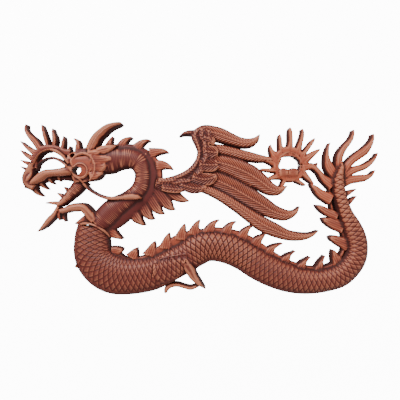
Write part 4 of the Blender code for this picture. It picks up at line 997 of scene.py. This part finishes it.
class CarvingTree:
    """The Geometry Nodes tree that cuts the patterns along the members.

    Every point carries along and across in metres and one mask for each pattern. The tree lowers the
    surface towards the back, which is +Y.
    """

    SIZES = {
        "Scale pitch": SCALE_PITCH,
        "Scale width": SCALE_WIDTH,
        "Scale depth": 0.0015,
        "Stria pitch": STRIA_PITCH,
        "Stria depth": 0.0005,
        "Barb pitch": BARB_PITCH,
        "Barb depth": 0.0012,
        "Flute pitch": FLUTE_PITCH,
        "Flute depth": 0.0006,
    }

    def __init__(self) -> None:
        self.tree = bpy.data.node_groups.new("carving", "GeometryNodeTree")
        interface = self.tree.interface
        interface.new_socket("Geometry", in_out="INPUT", socket_type="NodeSocketGeometry")
        for name, size in self.SIZES.items():
            socket = interface.new_socket(name, in_out="INPUT", socket_type="NodeSocketFloat")
            socket.default_value = size
        interface.new_socket("Wood", in_out="INPUT", socket_type="NodeSocketMaterial")
        interface.new_socket("Geometry", in_out="OUTPUT", socket_type="NodeSocketGeometry")
        self.inputs = self.tree.nodes.new("NodeGroupInput")
        self._build()

    def size(self, name: str) -> Field:
        """A named input of the tree."""
        return Field(self.tree, self.inputs.outputs[name])

    def attribute(self, name: str) -> Field:
        """A number stored on the mesh."""
        node = self.tree.nodes.new("GeometryNodeInputNamedAttribute")
        node.data_type = "FLOAT"
        node.inputs["Name"].default_value = name
        return Field(self.tree, node.outputs["Attribute"])

    def _build(self) -> None:
        """Adds the nodes: the depth of the cut, the move, and the material."""
        along = self.attribute("along")
        across = self.attribute("across")
        cut = self._scales(along, across) * self.attribute("scales")
        cut = cut + self._striae(along) * self.attribute("striae")
        cut = cut + self._barbs(along, across) * self.attribute("barbs")
        cut = cut + self._flutes(across) * self.attribute("flutes")
        combine = self.tree.nodes.new("ShaderNodeCombineXYZ")
        self.tree.links.new(cut.socket, combine.inputs["Y"])
        move = self.tree.nodes.new("GeometryNodeSetPosition")
        self.tree.links.new(self.inputs.outputs["Geometry"], move.inputs["Geometry"])
        self.tree.links.new(combine.outputs[0], move.inputs["Offset"])
        realize = self.tree.nodes.new("GeometryNodeRealizeInstances")
        finish = self.tree.nodes.new("GeometryNodeSetMaterial")
        output = self.tree.nodes.new("NodeGroupOutput")
        self.tree.links.new(move.outputs[0], realize.inputs[0])
        self.tree.links.new(realize.outputs[0], finish.inputs["Geometry"])
        self.tree.links.new(self.inputs.outputs["Wood"], finish.inputs["Material"])
        self.tree.links.new(finish.outputs[0], output.inputs[0])

    def _scales(self, along: Field, across: Field) -> Field:
        """Staggered lozenge scales: a groove round each, and a slope along it."""
        a = along / self.size("Scale pitch")
        b = across / self.size("Scale width")
        p = (a + b).math("FRACT")
        q = (a - b).math("FRACT")
        nearest = p.math("MINIMUM", q).math("MINIMUM", (p * -1.0 + 1.0).math("MINIMUM", q * -1.0 + 1.0))
        groove = nearest.smooth(0.0, 0.2) * -0.75 + 0.75
        slope = (p + q) * -0.25 + 0.5
        return (groove + slope) * self.size("Scale depth")

    def _striae(self, along: Field) -> Field:
        """Fine ribs straight across the member."""
        wave = (along / self.size("Stria pitch") * math.tau).math("COSINE")
        return (wave * -0.5 + 0.5) * self.size("Stria depth")

    def _barbs(self, along: Field, across: Field) -> Field:
        """Slanted barbs on both sides of a raised shaft."""
        aside = across.math("ABSOLUTE")
        wave = ((along + aside * BARB_SLANT) / self.size("Barb pitch") * math.tau).math("COSINE")
        beside = aside.smooth(*SHAFT)
        return (wave * -0.5 + 0.8) * beside * self.size("Barb depth")

    def _flutes(self, across: Field) -> Field:
        """Shallow grooves that run with the member."""
        wave = (across / self.size("Flute pitch") * math.tau).math("COSINE")
        return (wave * 0.5 + 0.5) * self.size("Flute depth")

    def apply(self, obj: bpy.types.Object, wood: bpy.types.Material) -> None:
        """Cuts the patterns into the object's mesh and leaves a plain mesh.

        Args:
            obj: the object, whose mesh carries the stored numbers.
            wood: its material.
        """
        modifier = obj.modifiers.new("carving", "NODES")
        modifier.node_group = self.tree
        for item in self.tree.interface.items_tree:
            if item.in_out == "INPUT" and item.name == "Wood":
                modifier[item.identifier] = wood
        graph = bpy.context.evaluated_depsgraph_get()
        cut = bpy.data.meshes.new_from_object(obj.evaluated_get(graph), depsgraph=graph)
        obj.modifiers.clear()
        old = obj.data
        obj.data = cut
        bpy.data.meshes.remove(old)


@dataclass
class Panel:
    """The whole panel as one mesh object."""

    name: str = "dragon_carving"

    def build(self, wood: bpy.types.Material) -> bpy.types.Object:
        """Makes the mesh, cuts its patterns and stores what the wood shader reads.

        Args:
            wood: its material.

        Returns:
            The panel's object.
        """
        relief = Relief(all_members())
        mesh = self._mesh(relief)
        obj = bpy.data.objects.new(self.name, mesh)
        bpy.context.scene.collection.objects.link(obj)
        CarvingTree().apply(obj, wood)
        self._store_wear_and_shade(obj.data)
        obj.data.set_sharp_from_angle(angle=SMOOTH_ANGLE)
        LOG.info("%s: %d triangles", self.name, sum(len(p.vertices) - 2 for p in obj.data.polygons))
        return obj

    def _mesh(self, relief: Relief) -> bpy.types.Mesh:
        """The closed mesh: carved front, sawn walls and flat back, kept within the frame's box."""
        front = relief.triangles[relief.keep]
        rim = boundary(front)
        used = np.unique(front)
        top = {int(v): n for n, v in enumerate(used)}
        rim_points = sorted({v for pair in rim for v in pair})
        foot = {v: len(used) + n for n, v in enumerate(rim_points)}
        lift = np.where(relief.surface.lift > 0, relief.surface.lift, ROOF[0] * DEPTH)
        low, high = ((corner[0], corner[2]) for corner in CAD_BOX)
        places = np.clip(relief.places, low, high)
        vertices = [(places[v][0], -lift[v], places[v][1]) for v in used]
        vertices += [(places[v][0], 0.0, places[v][1]) for v in rim_points]
        faces = [tuple(top[int(v)] for v in face) for face in front]
        faces += [(top[b], top[a], foot[a], foot[b]) for a, b in rim]
        local = {v: n for n, v in enumerate(rim_points)}
        faces += back_faces(places[rim_points], [(local[a], local[b]) for a, b in rim], len(used))
        mesh = bpy.data.meshes.new(self.name)
        mesh.from_pydata(vertices, [], faces)
        mesh.polygons.foreach_set("use_smooth", [True] * len(faces))
        self._store_places(mesh, relief, used, rim_points)
        return mesh

    def _store_places(self, mesh: bpy.types.Mesh, relief: Relief, used: np.ndarray,
                      rim_points: list[int]) -> None:
        """Stores the place on the member and the pattern masks on every point.

        Args:
            mesh: the mesh.
            relief: what it was made from.
            used: the relief's points on the front, in the mesh's order.
            rim_points: the relief's points round the back, which follow them.
        """
        surface = relief.surface
        total = len(used) + len(rim_points)
        member = surface.member[used]
        across = surface.across[used]
        share = np.abs(across)
        width = np.zeros(len(used))
        tint = np.zeros(len(used))
        rim = np.zeros(len(used))
        masks = {pattern: np.zeros(len(used)) for pattern in Pattern}
        for n, one in enumerate(relief.members):
            mine = member == n
            width[mine] = one.half_width(surface.along[used][mine])
            tint[mine] = one.carving.tint
            rim[mine] = one.carving.rim
            masks[one.carving.pattern][mine] = 1.0
        fade = np.clip((1.0 - share) * width / PATTERN_FADE, 0.0, 1.0)
        masks[Pattern.SCALES] *= np.clip((BELLY - across) / BELLY_FADE, 0, 1)
        store(mesh, "along", surface.along[used], total)
        store(mesh, "across", across * width, total)
        store(mesh, "tint", tint, total)
        store(mesh, "rim", rim * np.clip(1.0 - (1.0 - share) * width / RIM_WIDTH, 0.0, 1.0), total)
        for pattern in (Pattern.SCALES, Pattern.STRIAE, Pattern.BARBS, Pattern.FLUTES):
            store(mesh, pattern.name.lower(), masks[pattern] * fade, total)
        wall = np.zeros(total)
        wall[len(used):] = 1.0
        store(mesh, "wall", wall, total)

    def _store_wear_and_shade(self, mesh: bpy.types.Mesh) -> None:
        """Stores how far each point stands above or below its neighbourhood, for wear on high places and for
        the pooled finish and painted shade in low ones.
        """
        count = len(mesh.vertices)
        points = np.empty(count * 3, np.float32)
        mesh.vertices.foreach_get("co", points)
        height = -points.reshape(-1, 3)[:, 1].astype(float)
        pairs = np.empty(len(mesh.edges) * 2, np.int32)
        mesh.edges.foreach_get("vertices", pairs)
        pairs = pairs.reshape(-1, 2)
        wall = np.empty(count, np.float32)
        mesh.attributes["wall"].data.foreach_get("value", wall)
        front = (wall[pairs] < 0.5).all(axis=1)
        pairs = pairs[front]
        degree = np.bincount(pairs.ravel(), minlength=count)
        level = height.copy()
        saved = {}
        for turn in range(1, FAR_TURNS + 1):
            total = np.bincount(pairs[:, 0], level[pairs[:, 1]], count)
            total += np.bincount(pairs[:, 1], level[pairs[:, 0]], count)
            level = np.where(degree > 0, total / np.maximum(degree, 1), level)
            if turn in (NEAR_TURNS, FAR_TURNS):
                saved[turn] = level.copy()
        store(mesh, "fine", (height - saved[NEAR_TURNS]) / NEAR_RISE, count)
        store(mesh, "broad", (height - saved[FAR_TURNS]) / FAR_RISE, count)


def back_faces(rim: np.ndarray, spans: list[tuple[int, int]], first: int) -> list[tuple[int, int, int]]:
    """Makes the flat back, turned to face away from the carving.

    Args:
        rim: the points of its outline.
        spans: pairs of them that are sides.
        first: the mesh's number for the first of them.

    Returns:
        The mesh's three point numbers for each face.
    """
    _, triangles = triangulate(rim, spans, BACK_MERGE_MM)
    inside = enclosed(rim[triangles].mean(axis=1), ((rim[a], rim[b]) for a, b in spans))
    return [(first + int(c), first + int(b), first + int(a)) for a, b, c in triangles[inside]]


def store(mesh: bpy.types.Mesh, name: str, values: np.ndarray, total: int) -> None:
    """Keeps a number on every point of the mesh.

    Args:
        mesh: the mesh.
        name: what the number is called.
        values: the numbers of its first points. The rest get 0.
        total: how many points it has.
    """
    full = np.zeros(total, np.float32)
    full[:len(values)] = values
    attribute = mesh.attributes.new(name, "FLOAT", "POINT")
    attribute.data.foreach_set("value", full)


def linear(code: str) -> tuple[float, float, float, float]:
    """An sRGB hex colour as linear RGBA."""
    parts = [int(code[i:i + 2], 16) / 255 for i in (1, 3, 5)]
    return (*(p / 12.92 if p <= 0.04045 else ((p + 0.055) / 1.055) ** 2.4 for p in parts), 1.0)


@dataclass(frozen=True)
class WoodFinish:
    """Stained and satin-varnished hardwood, rubbed lighter on the edges.

    Args:
        stain_and_shade_colour: the dark colour of the finish pooled in hollows and on sawn walls, which also
            stands for painted shade there.
        body: the main colour.
        warm: the rubbed colour of spikes, flames and feathers.
        rim: the colour of the most worn edges.
        grain: length of the wood's figure across the grain, in metres.
        roughness: of the varnish.
        wear: how far the rubbed places take on the rim colour.
        stain_and_painted_shade: how far low places take on that dark colour, as pooled finish and painted
            shade.
        wall_stain_and_shade: the same for the sawn walls and the back, as dark staining and painted shade.
        tooth: depth of the wood's fibres under the varnish, in metres.
    """

    stain_and_shade_colour: str = "#451D19"
    body: str = "#762C27"
    warm: str = "#CC6040"
    rim: str = "#F2966F"
    grain: float = 0.0035
    roughness: float = 0.48
    wear: float = 0.75
    stain_and_painted_shade: float = 0.85
    wall_stain_and_shade: float = 0.8
    tooth: float = 0.0002

    def material(self) -> bpy.types.Material:
        """The wood as a material that reads the mesh's stored numbers."""
        material = bpy.data.materials.new("carved_varnished_hardwood")
        material.use_nodes = True
        tree = material.node_tree
        shader = tree.nodes["Principled BSDF"]
        figure = self._noise(tree, (9.0, 60.0, 1.0 / self.grain), 1.0, 4.0)
        fibre = self._noise(tree, (60.0, 400.0, 2600.0), 1.0, 2.0)
        tint = self._attribute(tree, "tint")
        fine = self._attribute(tree, "fine")
        broad = self._attribute(tree, "broad")
        wall = self._attribute(tree, "wall")
        rim = self._attribute(tree, "rim")
        # Stain: from the body's colour to the warm one, uneven with the wood's figure.
        level = tint * 0.75 + (figure - 0.5) * 0.7 + (fibre - 0.5) * 0.25
        body, warm = self._rgb(tree, self.body), self._rgb(tree, self.warm)
        colour = self._mix(tree, level.smooth(0.0, 1.0), body, warm)
        # Rubbed places are lighter. Low places are darker, partly as finish pooled in hollows and partly as
        # painted shade. Dark members are rubbed less.
        # Painted shadow: the fold strips' tint of -1 takes their wear away and darkens them into a shadow
        # line.
        dark_tone_and_painted_shadow = tint.math("MINIMUM", 0.0)
        worn = (fine * 0.5 + broad * 0.12 + rim * 0.6 + dark_tone_and_painted_shadow * 0.8).smooth(0.1, 0.9)
        colour = self._mix(tree, worn * self.wear, colour, self._rgb(tree, self.rim))
        # Painted shade together with pooled finish: low places darken towards the dark colour, and so do dark
        # members and the fold strips.
        stain_and_painted_shade = (fine * -0.55 + broad * -0.35 + dark_tone_and_painted_shadow * -0.5).smooth(0.0, 1.0)
        colour = self._mix(tree, stain_and_painted_shade * self.stain_and_painted_shade, colour, self._rgb(tree, self.stain_and_shade_colour))
        # The sawn walls and the back are stained dark, with painted shade on the walls, and have no sheen.
        below = wall.smooth(0.0, 0.35) * self.wall_stain_and_shade
        colour = self._mix(tree, below, colour, self._rgb(tree, self.stain_and_shade_colour))
        tree.links.new(colour, shader.inputs["Base Color"])
        rough = (fibre - 0.5) * 0.2 + self.roughness + stain_and_painted_shade * 0.2 + wall * 0.4
        tree.links.new((wall * -0.45 + 0.5).socket, shader.inputs["Specular IOR Level"])
        tree.links.new(rough.socket, shader.inputs["Roughness"])
        bump = tree.nodes.new("ShaderNodeBump")
        bump.inputs["Strength"].default_value = 0.35
        bump.inputs["Distance"].default_value = self.tooth
        tree.links.new((fibre + figure * 0.5).socket, bump.inputs["Height"])
        tree.links.new(bump.outputs[0], shader.inputs["Normal"])
        return material

    def _noise(self, tree: bpy.types.NodeTree, scale: tuple[float, float, float], size: float,
               detail: float) -> Field:
        """Noise stretched along the plank.

        Args:
            tree: the material's node tree.
            scale: how fine it is along X, Y and Z.
            size: how fine it is in all.
            detail: how many finer layers it has.

        Returns:
            The noise, from 0 to 1.
        """
        coordinates = tree.nodes.new("ShaderNodeTexCoord")
        mapping = tree.nodes.new("ShaderNodeMapping")
        mapping.inputs["Scale"].default_value = scale
        noise = tree.nodes.new("ShaderNodeTexNoise")
        noise.inputs["Scale"].default_value = size
        noise.inputs["Detail"].default_value = detail
        tree.links.new(coordinates.outputs["Object"], mapping.inputs["Vector"])
        tree.links.new(mapping.outputs[0], noise.inputs["Vector"])
        return Field(tree, noise.outputs["Fac"])

    def _attribute(self, tree: bpy.types.NodeTree, name: str) -> Field:
        """A number stored on the mesh."""
        node = tree.nodes.new("ShaderNodeAttribute")
        node.attribute_name = name
        return Field(tree, node.outputs["Fac"])

    def _rgb(self, tree: bpy.types.NodeTree, code: str) -> bpy.types.NodeSocket:
        """A fixed colour, from its sRGB hex code."""
        node = tree.nodes.new("ShaderNodeRGB")
        node.outputs[0].default_value = linear(code)
        return node.outputs[0]

    def _mix(self, tree: bpy.types.NodeTree, factor: Field, one: bpy.types.NodeSocket,
             two: bpy.types.NodeSocket) -> bpy.types.NodeSocket:
        """Colour one where the factor is 0, colour two where it is 1."""
        node = tree.nodes.new("ShaderNodeMix")
        node.data_type = "RGBA"
        tree.links.new(factor.socket, node.inputs[0])
        tree.links.new(one, node.inputs[6])
        tree.links.new(two, node.inputs[7])
        return node.outputs[2]


@dataclass(frozen=True)
class Stage:
    """The pale backdrop, the studio lights and the camera.

    Args:
        backdrop_distance: how far behind the panel's back the paper hangs.
        backdrop_size: how wide and high it is.
        glow: how bright it looks to the camera. It doesn't light the panel.
    """

    backdrop_distance: float = 0.45
    backdrop_size: float = 24.0
    glow: float = 12.0

    def build(self) -> None:
        """Adds the stage to the scene."""
        self._backdrop()
        self._area("key", (-0.9, -1.3, 1.2), 0.8, 30.0)
        self._area("fill", (1.2, -1.6, 0.2), 1.4, 7.0)
        world = bpy.data.worlds.new("studio")
        world.use_nodes = True
        background = world.node_tree.nodes["Background"]
        background.inputs["Color"].default_value = (1.0, 1.0, 1.0, 1.0)
        background.inputs["Strength"].default_value = 0.35
        bpy.context.scene.world = world
        self._camera()

    def _backdrop(self) -> None:
        """A sheet of white paper that hangs behind the panel."""
        half = self.backdrop_size / 2
        y = self.backdrop_distance
        mesh = bpy.data.meshes.new("backdrop")
        mesh.from_pydata([(-half, y, -half), (half, y, -half), (half, y, half), (-half, y, half)], [],
                         [(0, 1, 2, 3)])
        obj = bpy.data.objects.new("backdrop", mesh)
        bpy.context.scene.collection.objects.link(obj)
        material = bpy.data.materials.new("pale_paper")
        material.use_nodes = True
        shader = material.node_tree.nodes["Principled BSDF"]
        shader.inputs["Base Color"].default_value = (0.95, 0.95, 0.95, 1.0)
        shader.inputs["Roughness"].default_value = 0.9
        shader.inputs["Emission Color"].default_value = (1.0, 1.0, 1.0, 1.0)
        path = material.node_tree.nodes.new("ShaderNodeLightPath")
        glow = Field(material.node_tree, path.outputs["Is Camera Ray"]) * self.glow
        material.node_tree.links.new(glow.socket, shader.inputs["Emission Strength"])
        # The paper is only seen from the front, so that the panel's back can be looked at too.
        side = material.node_tree.nodes.new("ShaderNodeNewGeometry")
        facing = Field(material.node_tree, side.outputs["Backfacing"]) * -1.0 + 1.0
        material.node_tree.links.new(facing.socket, shader.inputs["Alpha"])
        mesh.materials.append(material)

    def _area(self, name: str, place: tuple[float, float, float], size: float, power: float) -> None:
        """A square light of that size and power in watts, turned towards the panel's middle."""
        light = bpy.data.lights.new(name, "AREA")
        light.size = size
        light.energy = power
        obj = bpy.data.objects.new(name, light)
        obj.location = place
        aim = Vector((0.0, 0.0, PANEL_MIDDLE)) - Vector(place)
        obj.rotation_euler = aim.to_track_quat("-Z", "Y").to_euler()
        bpy.context.scene.collection.objects.link(obj)

    def _camera(self) -> None:
        """The camera straight in front of the drawing's middle, as far off as the photo's."""
        camera = bpy.data.cameras.new("camera")
        camera.sensor_width = 36.0
        camera.lens = 36.0 * VIEW_DISTANCE / (GRID_WIDTH * UNIT)
        obj = bpy.data.objects.new("camera", camera)
        obj.location = ((GRID_EYE[0] - GRID_HANG[0]) * UNIT, -VIEW_DISTANCE,
                        (GRID_HANG[1] - GRID_EYE[1]) * UNIT)
        obj.rotation_euler = (math.pi / 2, 0.0, 0.0)
        bpy.context.scene.collection.objects.link(obj)
        bpy.context.scene.camera = obj


def main() -> None:
    """Builds the stage and the panel, and ties the panel to the frame."""
    logging.basicConfig(level=logging.INFO)
    Stage().build()
    panel = Panel().build(WoodFinish().material())
    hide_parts("dragon_panel")
    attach(panel, "root")


if __name__ == "__main__":
    main()
